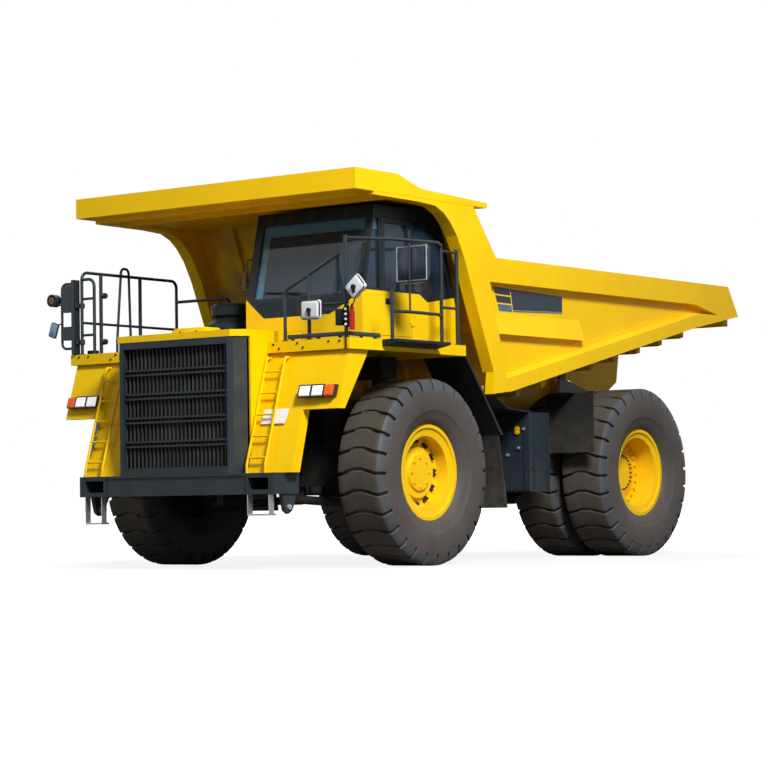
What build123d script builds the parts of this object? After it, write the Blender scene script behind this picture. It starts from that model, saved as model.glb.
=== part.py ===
"""Rigid mining dump truck: frame, wheels, cab, decks and tipping bed.

Millimetres. +X is the truck's left, -Y its front, +Z up, with the ground at Z = 0.
Places along the truck are distances behind the front axle, or behind the rear axle.
"""

import math
import os

from build123d import *

os.makedirs("parts", exist_ok=True)

# ---------------------------------------------------------------- driving dimensions
# Axles
wheelbase = 4300
axle_y = -2490
rear_y = axle_y + wheelbase
running_gap = 0.3

# Wheels
tyre_radius = 1060
tyre_width = 650
tread_half = 265
lug_count = 28
lug_height = 42
lug_width = 172
lug_runout = 24
rim_radius = 520
rim_width = 432
flange_radius = 548
flange_width = 20
lock_radius = 506
front_opening = 412
rear_opening = 440
barrel_radius = 490
front_tyre_x = 1757
rear_tyre_x = 1579
twin_spacing = 740
axle_z = tyre_radius
hub_radius = 240
front_drum_radius = 300
cap_radius = 205
spindle_radius = 110
spindle_reach = 40
drive_radius = 330
axle_tube_radius = 200
drive_recess = 54

# Front suspension
kingpin_x = 1300
strut_radius = 95
strut_gap = 5
arm_ball_z = 700
arm_pivot_x = 480
arm_pivot_y = 620
arm_pivot_z = 780
arm_pin = 30
arm_lug_edge = 140
tower_z = 2150

# Rear suspension
strut_x = 280
strut_foot = (rear_y + 430, 960)
strut_top = (rear_y + 700, 1560)
link_x = 280
link_front = (rear_y - 1450, 1060)
link_rear = (rear_y - 445, 990)
link_pin = 35
link_half_width = 54
axle_nose = 470

# Frame
rail_inner_x = 370
rail_outer_x = 590
rail_top_z = 1900
pivot_y = rear_y + 950
pivot_z = 1750
pivot_radius = 70
pivot_boss = 150
ear_gap = 12
ear_thickness = 60

# Hoists
hoist_x = 735
hoist_barrel_radius = 105
hoist_rod_radius = 70
hoist_pin_radius = 40
hoist_eye_half = 60
hoist_eye_play = 38
hoist_eye_radius = 110
hoist_foot = (rear_y - 925, 870)
hoist_head = (rear_y + 500, 2190)
hoist_barrel_length = 1330

# Bumper
bumper_front = axle_y - 2118
bumper_back = axle_y - 1690
bumper_low = 835
bumper_high = 1066
bumper_half = 1444
bumper_pocket = (1075, 1360)
pocket_height = 130
pocket_depth = 320
tow_x = 1400
tow_width = 50
tow_eye = (axle_y - 1850, 690)
tow_radius = 35

# Hood and grille
hood_half = 925
hood_front = axle_y - 2044
hood_back = axle_y - 960
hood_top = 2655
hood_sheet = 25
hood_brow = 75
corner_bevel = 150
corner_round = 25
grille_margin = 80
grille_post = 20
grille_low = 1150
grille_high = 2500
surround_low = bumper_high + running_gap
surround_high = hood_top - hood_brow - running_gap
surround_half = hood_half - hood_sheet - 5
surround_depth = 156
grille_right = -surround_half + grille_margin
grille_left = surround_half - corner_bevel - grille_post
slat_count = 26
slat_width = 8
rung_count = 4
radiator_half = surround_half - 45

# Decks
deck_half = 2086
deck_front = axle_y - 1584
deck_back = axle_y + 610
deck_top = 2520
deck_skirt = 122
deck_plate = 40
deck_sheet = 12
deck_low = deck_top - deck_skirt
walkway_width = 215
walkway_front = axle_y - 1000
walkway_back = axle_y + 10
walkway_depth = 75
fender_reach = 2030
fender_foot = 1545
lamp_line = 1750

# Cab
cab_left = 1760
cab_width = 1690
cab_right = cab_left - cab_width
cab_wall = 60
cab_floor = deck_top + running_gap
cab_sill = 3130
cab_head = 3930
door_front = axle_y - 560
door_back = axle_y
door_low = 2600
door_high = 3950
door_gap = 6
door_thickness = 45
hinge_x = cab_left + 11
hinge_radius = 11
hinge_pin = 5
hinge_heights = (2800, 3700)
hinge_half = 40
glass_thickness = 8
screen_margin = (110, 90)
rear_window = (200, 3250, 3900)

# Bed
bed_half = 1985
rail_depth = 112
bed_wall = 50
bed_floor_plate = 30
bed_slope = 0.2217
bed_floor_z = 2116
bed_floor_front = axle_y + 1440
floor_break = rear_y + 1616
tail_slope = 0.072
bed_tail = rear_y + 2794
bed_rail_low = 3290
bed_rail_high = 3580
side_wedge = 260
low_rail_bevel = 50
canopy_front = axle_y - 1461
canopy_back = axle_y + 1070
canopy_half = 2100
canopy_low = 4152
canopy_plate = 50
canopy_lip = 4385
lip_sheet = 30
wall_setback = 230
wall_plate = 50
wall_rib = 60
rib_pitch = 560
rib_count = 8
rib_depth = 220
rib_width = 100
flap_place = rear_y - 1250

# Rails
rail_tube = 19
post_tube = 22
brace_tube = 16
rail_bend = 90
clamp_wall = 12
clamp_half = 30


# ---------------------------------------------------------------- helpers
def at(*stations):
    """Side outline points from (distance behind the front axle, height)."""
    return [(axle_y + behind, height) for behind, height in stations]


def rear_at(*stations):
    """Side outline points from (distance behind the rear axle, height)."""
    return [(rear_y + behind, height) for behind, height in stations]


def ordered(side, low, high):
    """An x range on the left (side 1) or right (side -1), lowest first."""
    return sorted((side * low, side * high))


def plate_yz(outline, x_low, x_high):
    """A plate with a side outline in (y, z), between two x planes."""
    with BuildPart() as plate:
        with BuildSketch(Plane.YZ.offset(x_low)):
            Polygon(*outline, align=None)
        extrude(amount=x_high - x_low)
    return plate.part


def plate_xz(outline, y_low, y_high):
    """A plate with a front outline in (x, z), between two y planes."""
    with BuildPart() as plate:
        with BuildSketch(Plane.XZ.offset(-y_high)):
            Polygon(*outline, align=None)
        extrude(amount=y_high - y_low)
    return plate.part


def block(x_range, y_range, z_range):
    """A rectangular block from its three ranges."""
    spans = (x_range, y_range, z_range)
    with BuildPart() as solid:
        with Locations(tuple(sum(span) / 2 for span in spans)):
            Box(*[span[1] - span[0] for span in spans])
    return solid.part


def bar(start, end, radius):
    """A round bar between two points."""
    run = Vector(*end) - Vector(*start)
    with BuildPart() as rod:
        with BuildSketch(Plane(origin=start, z_dir=run)):
            Circle(radius)
        extrude(amount=run.length)
    return rod.part


def cross_bar(y, z, x_low, x_high, radius):
    """A round bar across the truck."""
    return bar((x_low, y, z), (x_high, y, z), radius)


def bent_tube(points, radius, bend):
    """A bent tube along straight runs joined by tangent arcs."""
    with BuildPart() as tube:
        with BuildLine() as route:
            FilletPolyline(*points, radius=bend)
        with BuildSketch(Plane(origin=route.line @ 0, z_dir=route.line % 0)):
            Circle(radius)
        sweep(path=route.line)
    return tube.part


def turned(outline, y):
    """A solid of revolution about the axle line at y, from (x, radius) points."""
    with BuildPart() as body:
        with BuildSketch(Plane.XY.offset(axle_z)):
            Polygon(*[(x, y - radius) for x, radius in outline], align=None)
        revolve(axis=Axis((0, y, axle_z), (1, 0, 0)))
    return body.part


def floor_under(y):
    """Height of the bed floor's underside: the tail rises less than the floor."""
    ramp = min(y, floor_break)
    tail = max(y - floor_break, 0)
    return bed_floor_z + (ramp - axle_y - 1533) * bed_slope + tail * tail_slope


def save(part, name):
    """Labels a finished piece and writes it."""
    part.label = name
    export_step(part, f"parts/{name}.step")


def mirrored(part):
    """The piece's mirror image on the truck's other side."""
    with BuildPart() as opposite:
        add(part)
        mirror(about=Plane.YZ, mode=Mode.REPLACE)
    return opposite.part


def both_sides(part, name):
    """Writes a left piece and its mirror image as two pieces."""
    save(part, f"{name}_left")
    save(mirrored(part), f"{name}_right")


def pair(part, name):
    """Writes a left piece and its mirror image as one piece of the same body."""
    with BuildPart() as twin:
        add(part)
        add(mirrored(part))
    save(twin.part, name)


def eye_link(start, end, x, rod_radius, eye_radius, pin):
    """A link in a fore-and-aft plane with a cross-bored eye at each end."""
    half = link_half_width
    with BuildPart() as link:
        add(bar((x, *start), (x, *end), rod_radius))
        for y, z in (start, end):
            add(cross_bar(y, z, x - half, x + half, eye_radius))
        for y, z in (start, end):
            add(cross_bar(y, z, x - half - 1, x + half + 1, pin + running_gap),
                mode=Mode.SUBTRACT)
    return link.part


def lug_block(x_span, y_centre, y_half, z_span):
    """A lug plate centred along the truck at y_centre."""
    return block(x_span, (y_centre - y_half, y_centre + y_half), z_span)


# ---------------------------------------------------------------- frame
rail_outline = [
    *at((-1690, 900), (1500, 960)),
    *rear_at((-1400, 1250), (-800, 1500), (950, 1600), (950, rail_top_z)),
    *at((1500, rail_top_z), (950, 1450), (-1690, 1350)),
]
# Cross members: centre along the truck, low z, high z, depth along the truck
members = (
    (axle_y - 1600, 950, 1300, 120),
    (axle_y - 820, 905, 1080, 160),
    (axle_y + 760, 960, 1300, 160),
    (rear_y - 2050, 1200, 1500, 200),
    (rear_y - 1450, 1250, 1500, 160),
    (rear_y - 950, 1500, 1850, 200),
    (rear_y + 680, 1650, 1880, 160),
)
lug_offset = 65
with BuildPart() as frame:
    for side in (-1, 1):
        inner, outer = ordered(side, rail_inner_x, rail_outer_x)
        add(plate_yz(rail_outline, inner, outer))
        add(cross_bar(pivot_y, pivot_z, inner, outer, pivot_boss))
        pin = ordered(side, rail_inner_x - 90, rail_outer_x + 90)
        add(cross_bar(pivot_y, pivot_z, *pin, pivot_radius))
        # Strut tower: a post on the rail, under the cross beam
        add(lug_block((inner, outer), axle_y, 150, (1300, tower_z)))
        # Trunnion for the hoist's foot
        foot_y, foot_z = hoist_foot
        add(plate_yz([(foot_y - 260, 1600), (foot_y + 200, 1600),
                      (foot_y + 90, foot_z - 80), (foot_y - 90, foot_z - 80)], inner, outer))
        add(cross_bar(foot_y, foot_z, *ordered(side, rail_inner_x, hoist_x + 85),
                      hoist_pin_radius))
    for centre, low, high, depth in members:
        add(lug_block((-rail_outer_x, rail_outer_x), centre, depth / 2, (low, high)))
    for side in (-1, 1):
        for fore in (-1, 1):
            # Lugs and pin for the lower arm's bush
            for edge in (-arm_lug_edge, arm_lug_edge):
                add(lug_block(ordered(side, arm_pivot_x - 45, arm_pivot_x + 45),
                              axle_y + fore * arm_pivot_y + edge, 20,
                              (arm_pivot_z - 60, 960)))
            ends = [axle_y + fore * arm_pivot_y + way * (arm_lug_edge + 25) for way in (-1, 1)]
            add(bar((side * arm_pivot_x, ends[0], arm_pivot_z),
                    (side * arm_pivot_x, ends[1], arm_pivot_z), arm_pin))
        # Lugs for the rear suspension: strut top and trailing link
        for (y, z), x, top in ((strut_top, strut_x, 1660), (link_front, link_x, 1300)):
            add(cross_bar(y, z, *ordered(side, x - 75, x + 75), link_pin))
            for edge in (-lug_offset, lug_offset):
                add(lug_block(ordered(side, x + edge - 10, x + edge + 10), y, 70,
                              (z - 60, top)))
    beam_half = kingpin_x + 130
    add(lug_block((-beam_half, beam_half), axle_y, 150, (tower_z, deck_low - running_gap)))
save(frame.part, "frame")

# ---------------------------------------------------------------- front bumper
with BuildPart() as bumper:
    add(block((-bumper_half, bumper_half), (bumper_front, bumper_back),
              (bumper_low, bumper_high)))
    # A channel between the pockets leaves a flange along the top and the bottom
    with BuildSketch(Plane.XZ.offset(-bumper_front)):
        with Locations((0, (bumper_low + bumper_high) / 2)):
            Rectangle(2 * bumper_pocket[0] - 60, bumper_high - bumper_low - 50)
    extrude(amount=-18, mode=Mode.SUBTRACT)
    for side in (-1, 1):
        pocket = ordered(side, *bumper_pocket)
        with BuildSketch(Plane.XZ.offset(-bumper_front)):
            with Locations((sum(pocket) / 2, (bumper_low + bumper_high) / 2)):
                Rectangle(pocket[1] - pocket[0], pocket_height)
        extrude(amount=-pocket_depth, mode=Mode.SUBTRACT)
    for side in (-1, 1):
        # Tow lug under each end, cross-bored
        lug = ordered(side, tow_x - tow_width / 2, tow_x + tow_width / 2)
        tow_y, tow_z = tow_eye
        add(plate_yz([(tow_y - 110, bumper_low + 1), (tow_y + 150, bumper_low + 1),
                      (tow_y + 60, tow_z - 40), (tow_y, tow_z - 75), (tow_y - 60, tow_z - 40)],
                     *lug))
        add(cross_bar(tow_y, tow_z, lug[0] - 1, lug[1] + 1, tow_radius), mode=Mode.SUBTRACT)
save(bumper.part, "front_bumper")

# ---------------------------------------------------------------- hood and grille
wing_front = hood_front + corner_bevel + hood_sheet
cover_low = 2200
brow_low = hood_top - hood_brow


def nose_outline(half, front, back):
    """A plan whose front corner is bevelled on the left and eased on the right."""
    return [(-half, back), (-half, front + corner_round), (-half + corner_round, front),
            (half - corner_bevel, front), (half, front + corner_bevel), (half, back)]


with BuildPart() as hood:
    with BuildSketch(Plane.XY.offset(cover_low)):
        Polygon(*nose_outline(hood_half, hood_front, hood_back), align=None)
    extrude(amount=hood_top - cover_low)
    with BuildSketch(Plane.XY.offset(cover_low)):
        Polygon(*nose_outline(hood_half - hood_sheet, hood_front + hood_sheet,
                              hood_back - hood_sheet), align=None)
    extrude(amount=hood_top - cover_low - hood_sheet, mode=Mode.SUBTRACT)
    add(block((-hood_half - 1, hood_half + 1), (hood_back - hood_sheet - 1, hood_back + 1),
              (cover_low - 1, hood_top - hood_sheet)), mode=Mode.SUBTRACT)
    for side in (-1, 1):
        add(plate_yz([(wing_front, surround_low), *at((-1690, surround_low), (-1400, 2210)),
                      (wing_front, 2210)], *ordered(side, hood_half, hood_half - hood_sheet)))
    add(block((-hood_half - 1, hood_half + 1), (hood_front - 1, wing_front),
              (cover_low - 1, brow_low)), mode=Mode.SUBTRACT)
save(hood.part, "hood")

with BuildPart() as surround:
    with BuildSketch(Plane.XY.offset(surround_low)):
        front, back = hood_front - 6, hood_front - 6 + surround_depth
        Polygon(*nose_outline(surround_half, front, back), align=None)
    extrude(amount=surround_high - surround_low)
    add(block((grille_right, grille_left), (front - 1, back + 1), (grille_low, grille_high)),
        mode=Mode.SUBTRACT)
    # Double bars across, over a row of upright slats
    rung_pitch = (grille_high - grille_low) / (rung_count + 1)
    for row in range(1, rung_count + 1):
        height = grille_low + row * rung_pitch
        for rise in (-26, 26):
            add(block((grille_right - 1, grille_left + 1), (front + 25, front + 60),
                      (height + rise - 11, height + rise + 11)))
    slat_pitch = (grille_left - grille_right) / slat_count
    for column in range(1, slat_count):
        x = grille_right + column * slat_pitch
        add(block((x - slat_width / 2, x + slat_width / 2), (front + 45, front + 75),
                  (grille_low - 1, grille_high + 1)))
save(surround.part, "grille")

core_low, core_high = surround_low + 90, brow_low - 90
with BuildPart() as radiator:
    radiator_front = hood_front + 190
    add(block((-radiator_half, radiator_half), (radiator_front, radiator_front + 160),
              (surround_low, brow_low - 20)))
    for side in (-1, 1):
        add(block(ordered(side, 45, radiator_half - 60), (radiator_front - 1, radiator_front + 40),
                  (core_low, core_high)), mode=Mode.SUBTRACT)
save(radiator.part, "radiator")

with BuildPart() as engine:
    add(block((-355, 355), (axle_y - 1500, axle_y + 200), (1080, 2080)))
save(engine.part, "engine")

nose_y = rear_y - axle_nose
gearbox_back = axle_y + 1900
with BuildPart() as driveline:
    add(block((-300, 300), (axle_y + 900, gearbox_back), (800, 1400)))
    add(bar((0, gearbox_back - 1, axle_z), (0, nose_y - running_gap, axle_z), 90))
save(driveline.part, "driveline")

# ---------------------------------------------------------------- decks and fenders
with BuildPart() as deck_side:
    add(block((hood_half + 3, deck_half), (deck_front, deck_back), (deck_low, deck_top)))
    add(block((hood_half + 2, deck_half - deck_sheet),
              (deck_front + deck_sheet, deck_back - deck_sheet),
              (deck_low - 1, deck_top - deck_plate)), mode=Mode.SUBTRACT)
with BuildPart() as deck:
    add(deck_side.part)
    add(mirrored(deck_side.part))
    add(block((-hood_half - 3, hood_half + 3), (hood_back + 4, deck_back),
              (deck_top - deck_plate, deck_top)))
    # Bolt-on walkway beside the cab, with a sloped underside
    add(plate_xz([(deck_half, deck_top - walkway_depth), (deck_half, deck_top),
                  (deck_half + walkway_width, deck_top),
                  (deck_half + walkway_width, deck_top - 30)], walkway_front, walkway_back))
save(deck.part, "deck")

fender_top = deck_low - running_gap
fender_inner = hood_half + 4
fender_lean = (1735 - 1530) / (fender_top - lamp_line)
with BuildPart() as fender:
    add(plate_yz(at((-1530, fender_top), (-1170, fender_top), (-1611, lamp_line),
                    (-1735, lamp_line)), fender_inner, fender_reach))
    add(plate_yz(at((-1735, lamp_line + 1), (-1611, lamp_line + 1), (-1800, surround_low),
                    (-1950, surround_low)), fender_inner, fender_foot))
pair(fender.part, "fenders")

# Mudguard behind the front wheel: sloped plate and hanging flap
guard_top = deck_top - 20
with BuildPart() as mudguard:
    add(plate_yz([(deck_back + running_gap, guard_top), (deck_back + running_gap, guard_top - 60),
                  *at((1360, 1500), (1400, 1500))], 1450, 2050))
    add(plate_yz(at((1362, 1501), (1382, 1501), (1540, 640), (1520, 640)), 1500, 2000))
pair(mudguard.part, "mudguards")

# ---------------------------------------------------------------- cab
screen_slope = (918 - 673) / (4080 - 3040)
cab_outline = at(
    (-918, cab_floor), (-918, 3040), (-673, 4080), (540, 4080), (850, 3150), (930, cab_floor),
)
cab_inside = at(
    (-858, cab_floor + cab_wall), (-858, 3050), (-628, 4020), (495, 4020), (790, 3145),
    (870, cab_floor + cab_wall),
)
door_opening = [(door_front, door_low), (door_front, door_high),
                (door_back, door_high), (door_back, door_low)]
door_edge = [(door_front + door_gap, door_low + door_gap),
             (door_front + door_gap, door_high - door_gap),
             (door_back - door_gap, door_high - door_gap),
             (door_back - door_gap, door_low + door_gap)]
door_window = [(door_front + 70, cab_sill), (door_front + 70, cab_head - 50),
               (door_back - 70, cab_head - 50), (door_back - 70, cab_sill)]
right_window = [(door_front, cab_sill), (door_front, cab_head),
                (door_back, cab_head), (door_back, cab_sill)]
side_window = at((60, cab_sill), (60, cab_head), (500, cab_head), (740, 3190), (740, cab_sill))
front_quarter = at((-850, cab_sill), (-680, cab_head), (-600, cab_head), (-600, cab_sill))
screen_low, screen_high = cab_sill - 50, cab_head + 5
left_margin, right_margin = screen_margin[1], screen_margin[0]
rear_inset, rear_low, rear_high = rear_window
with BuildPart() as cab:
    add(plate_yz(cab_outline, cab_right, cab_left))
    add(plate_yz(cab_inside, cab_right + cab_wall, cab_left - cab_wall), mode=Mode.SUBTRACT)
    for opening in (side_window, front_quarter):
        add(plate_yz(opening, cab_right - 1, cab_left + 1), mode=Mode.SUBTRACT)
    add(plate_yz(door_opening, cab_left - cab_wall - 1, cab_left + 1), mode=Mode.SUBTRACT)
    add(plate_yz(right_window, cab_right - 1, cab_right + cab_wall + 1), mode=Mode.SUBTRACT)
    add(block((cab_right + right_margin, cab_left - left_margin),
              (axle_y - 1000, door_front), (screen_low, screen_high)), mode=Mode.SUBTRACT)
    add(block((cab_right + rear_inset, cab_left - rear_inset),
              (axle_y + 400, axle_y + 1000), (rear_low, rear_high)), mode=Mode.SUBTRACT)
    for height in hinge_heights:
        for way in (-1, 1):
            ends = sorted((height + way * (hinge_half + running_gap), height + way * 70))
            add(bar((hinge_x, door_back, ends[0]), (hinge_x, door_back, ends[1]), hinge_radius))
            add(block((cab_left - 1, cab_left + 8), (door_back, door_back + 70), ends))
        add(bar((hinge_x, door_back, height - 60), (hinge_x, door_back, height + 60), hinge_pin))
save(cab.part, "cab")

with BuildPart() as door:
    add(plate_yz(door_edge, cab_left - door_thickness, cab_left))
    add(plate_yz(door_window, cab_left - door_thickness - 1, cab_left + 1), mode=Mode.SUBTRACT)
    for height in hinge_heights:
        span = (height - hinge_half, height + hinge_half)
        add(bar((hinge_x, door_back, span[0]), (hinge_x, door_back, span[1]), hinge_radius))
        add(block((cab_left - 1, cab_left + 8), (door_back - 70, door_back), span))
        add(bar((hinge_x, door_back, span[0] - 1), (hinge_x, door_back, span[1] + 1),
                hinge_pin + running_gap), mode=Mode.SUBTRACT)
save(door.part, "cab_door")

seat_x = (700, 1200)
seat_back_y = axle_y + 300
with BuildPart() as seat:
    add(block(seat_x, (axle_y - 100, seat_back_y + 120), (cab_floor + cab_wall, 3000)))
    add(block(seat_x, (seat_back_y, seat_back_y + 120), (2999, 3700)))
save(seat.part, "cab_seat")


def pane(outline, x_low):
    """A pane that fills a side opening, set in by the running gap."""
    with BuildPart() as glass:
        with BuildSketch(Plane.YZ.offset(x_low)):
            Polygon(*outline, align=None)
            offset(amount=-running_gap, mode=Mode.REPLACE)
        extrude(amount=glass_thickness)
    return glass.part


def sloped_pane(low, high, front_y, slope, x_low, x_high):
    """A pane across the cab in a leaning wall, from its foot's y and slope."""
    feet = [(front_y + (z - low) * slope, z) for z in (low + running_gap, high - running_gap)]
    outline = feet + [(y + glass_thickness, z) for y, z in reversed(feet)]
    return plate_yz(outline, x_low + running_gap, x_high - running_gap)


pane_depth = 26
screen_foot = axle_y - 918 + (screen_low - 3040) * screen_slope + pane_depth
back_slope = (540 - 850) / (4080 - 3150)
back_foot = axle_y + 850 + (rear_low - 3150) * back_slope - pane_depth - glass_thickness
with BuildPart() as glazing:
    for outline in (side_window, front_quarter):
        add(pane(outline, cab_left - pane_depth - glass_thickness))
        add(pane(outline, cab_right + pane_depth))
    add(pane(right_window, cab_right + pane_depth))
    add(sloped_pane(screen_low, screen_high, screen_foot, screen_slope,
                    cab_right + right_margin, cab_left - left_margin))
    add(sloped_pane(rear_low, rear_high, back_foot, back_slope,
                    cab_right + rear_inset, cab_left - rear_inset))
save(glazing.part, "cab_glass")

with BuildPart() as door_glass:
    add(pane(door_window, cab_left - pane_depth))
save(door_glass.part, "door_glass")

# ---------------------------------------------------------------- rails
corner_post = (2010, -1540)
right_post = (-1940, -1540)
# Each run: points as (x, distance behind the front axle, height)
left_runs = (
    ((1155, -1540, deck_top), (1155, -1540, 3080), (1945, -1540, 3451)),
    ((1496, -1540, deck_top), (1496, -1540, 3240)),
    ((*corner_post, deck_top), (*corner_post, 3640)),
    ((*corner_post, 3610), (2250, -950, 3620), (2250, -150, 3640), (2050, 190, 3650)),
    ((2200, -957, deck_top), (2200, -957, 3065)),
    ((2200, -957, 2830), (2250, -700, 2830), (2250, -150, 2830), (2050, 190, 2830)),
    ((2050, 190, deck_top), (2050, 190, 3660)),
    ((2050, 500, deck_top), (2050, 500, 3620)),
    ((2050, 190, 3585), (2050, 500, 3585)),
    ((2050, 190, 2940), (2050, 500, 2940)),
    ((1496, -1540, 2900), (*corner_post, 2900)),
)
right_runs = (
    ((*right_post, deck_top), (*right_post, 3498), (-1960, 157, 3498), (-1960, 157, deck_top)),
    ((-1942, -1213, deck_top), (-1942, -1213, 3498)),
    ((-1950, -517, deck_top), (-1950, -517, 3498)),
    ((*right_post, 2900), (-1960, 157, 2900)),
    ((*right_post, 3410), (-1740, -1540, 3410), (-1740, -1540, deck_top)),
    ((*right_post, 3180), (-1740, -1540, 3180)),
    ((*right_post, 2750), (-1740, -1540, 2750)),
    ((-1948, -930, deck_top), (-1948, -930, 2700), (-1948, -850, 3590), (-1948, -720, 3590),
     (-1948, -690, 2700), (-1948, -690, deck_top)),
    ((-1960, 157, 3240), (-1100, 157, 3240), (-1100, 157, deck_top)),
)
loop_bend = 60
with BuildPart() as handrails:
    for runs in (left_runs, right_runs):
        for run in runs:
            places = [(x, axle_y + behind, z) for x, behind, z in run]
            upright = places[0][:2] == places[-1][:2]
            if len(places) == 2:
                add(bar(*places, post_tube if upright else brace_tube))
            elif run[0][2] == deck_top and run[-1][2] == deck_top and run[0][1] == -930:
                add(bent_tube(places, brace_tube, loop_bend))
            else:
                add(bent_tube(places, rail_tube, rail_bend))
save(handrails.part, "handrails")

# ---------------------------------------------------------------- ladders and steps
ladder_width = 290
ladder_tube = 15
rung_tube = 12
rungs = 5
ladder_heights = (1150, 2340)
ladder_places = (-1998, -1625)
with BuildPart() as ladders:
    for x_low in (hood_half + 20, -hood_half - 265 - ladder_width):
        x_high = x_low + ladder_width
        (low_y, low_z), (top_y, top_z) = at(*zip(ladder_places, ladder_heights))
        # Each rail stands on the bumper, leans with the fender, and curls back into it
        face = axle_y - 1530 - (fender_top - top_z + ladder_tube) * fender_lean - running_gap
        for x in (x_low + ladder_tube, x_high - ladder_tube):
            add(bent_tube([(x, low_y, bumper_high + running_gap), (x, low_y, low_z),
                           (x, top_y, top_z), (x, face, top_z)], ladder_tube, 40))
        for row in range(rungs):
            share = (row + 0.35) / rungs
            add(cross_bar(low_y + (top_y - low_y) * share, low_z + (top_z - low_z) * share,
                          x_low + ladder_tube, x_high - ladder_tube, rung_tube))
save(ladders.part, "ladders")

# Hanging step: x range and height of its tread
hanging_steps = ((1045, 1355, 600), (-1380, -1120, 520))
with BuildPart() as steps:
    for x_low, x_high, low in hanging_steps:
        for x in (x_low, x_high - 10):
            add(block((x, x + 10), (bumper_front + 20, bumper_front + 100),
                      (low, bumper_low - running_gap)))
        add(block((x_low, x_high), (bumper_front + 20, bumper_front + 140), (low, low + 25)))
save(steps.part, "entry_steps")

# ---------------------------------------------------------------- lamps, mirrors, intake
lamp_centres = (1580, 1750, 1920)
lamp_half = 65
with BuildPart() as lamps:
    for side in (-1, 1):
        for x in lamp_centres:
            slant = [(axle_y - 1735 + (z - lamp_line) * fender_lean - running_gap, z)
                     for z in (1880, 2010)]
            add(plate_yz(slant + [(y - 70, z) for y, z in reversed(slant)],
                         *ordered(side, x - lamp_half, x + lamp_half)))
save(lamps.part, "lamps")


def clamp(post, low):
    """A ring that holds a bracket to a rail post at (x, distance behind the front axle)."""
    x, y = post[0], axle_y + post[1]
    with BuildPart() as ring:
        with BuildSketch(Plane.XY.offset(low)):
            with Locations((x, y)):
                Circle(post_tube + clamp_wall)
                Circle(post_tube + running_gap, mode=Mode.SUBTRACT)
        extrude(amount=2 * clamp_half)
    return ring.part


def glass_case(centre, width, height, depth, lean):
    """A mirror's case: a rounded slab facing along the truck, leaned about its face."""
    place = Plane(origin=centre, x_dir=(math.cos(lean), 0, math.sin(lean)), z_dir=(0, -1, 0))
    with BuildPart() as case:
        with BuildSketch(place):
            RectangleRounded(width, height, min(width, height) / 5)
        extrude(amount=depth / 2, both=True)
    return case.part


arm_radius = 11
front_face_y = axle_y - 1650
# Mirrors on the left corner post: centre x, centre z, width, height, lean, clamp's low z
post_mirrors = (
    (1615, 2838, 264, 211, 0.0, 2790),
    (2233, 3055, 225, 190, 0.70, 3020),
)
with BuildPart() as left_mirrors:
    for x, z, width, height, lean, low in post_mirrors:
        reach = clamp_wall + post_tube + 2
        start = (corner_post[0], axle_y + corner_post[1] - reach, low + clamp_half)
        add(clamp(corner_post, low))
        add(bar(start, (x, front_face_y + 10, z), arm_radius))
        add(glass_case((x, front_face_y, z), width, height, 50, lean))
# Door mirror on a stalk from the walkway's outer rail
stalk = (2250, -690)
with BuildPart() as door_mirror:
    y = axle_y + stalk[1]
    for low, high in ((2849 + running_gap, 3600 - running_gap), (3651 + running_gap, 3740)):
        add(bar((stalk[0], y, low), (stalk[0], y, high), arm_radius))
    add(glass_case((2260, y + 60, 3370), 420, 440, 60, 0.0))
    for height in (3290, 3450):
        add(bar((stalk[0], y, height), (stalk[0], y + 40, height), 9))
# Right cluster: a carrier on the corner post, a tube guard, two mirrors and a lamp
with BuildPart() as right_mirrors:
    x, y = right_post[0], axle_y + right_post[1]
    for low in (2640, 3070):
        add(clamp(right_post, low))
        add(block((x - 70, x - post_tube - 4), (y - 60, y + 20), (low + 5, low + 55)))
    add(block((x - 105, x - 60), (y - 75, y + 25), (deck_top + running_gap, 3410)))
    add(bent_tube([(x - 90, y - 30, 2600), (x - 296, y - 30, 2600), (x - 296, y - 30, 3370),
                   (x - 90, y - 30, 3370)], brace_tube, 70))
    add(glass_case((x - 195, y - 30, 3190), 190, 320, 40, 0.0))
    add(glass_case((x - 195, y - 30, 2780), 190, 160, 60, 0.0))
    add(bar((x - 430, y - 75, 3184), (x - 430, y + 15, 3184), 75))
    add(bar((x - 300, y - 30, 3120), (x - 425, y - 30, 3150), arm_radius))
    add(glass_case((x - 425, y - 40, 2830), 120, 180, 20, -0.35))
    add(bar((x - 300, y - 30, 2900), (x - 425, y - 30, 2890), 9))
with BuildPart() as mirrors:
    for piece in (left_mirrors, door_mirror, right_mirrors):
        add(piece.part)
save(mirrors.part, "mirrors")

with BuildPart() as intake:
    intake_x, intake_y = -550, axle_y - 450
    add(block((intake_x - 250, intake_x + 250), (intake_y - 250, intake_y + 250),
              (deck_top + running_gap, 2800)))
    with BuildSketch(Plane.XZ.offset(-intake_y)):
        Polygon((intake_x, 2799), (intake_x + 285, 2799), (intake_x + 285, 2850),
                (intake_x + 190, 2930), (intake_x + 235, 2960), (intake_x + 245, 3060),
                (intake_x + 200, 3095), (intake_x, 3095), align=None)
    revolve(axis=Axis((intake_x, intake_y, 0), (0, 0, 1)))
save(intake.part, "air_intake")

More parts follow.
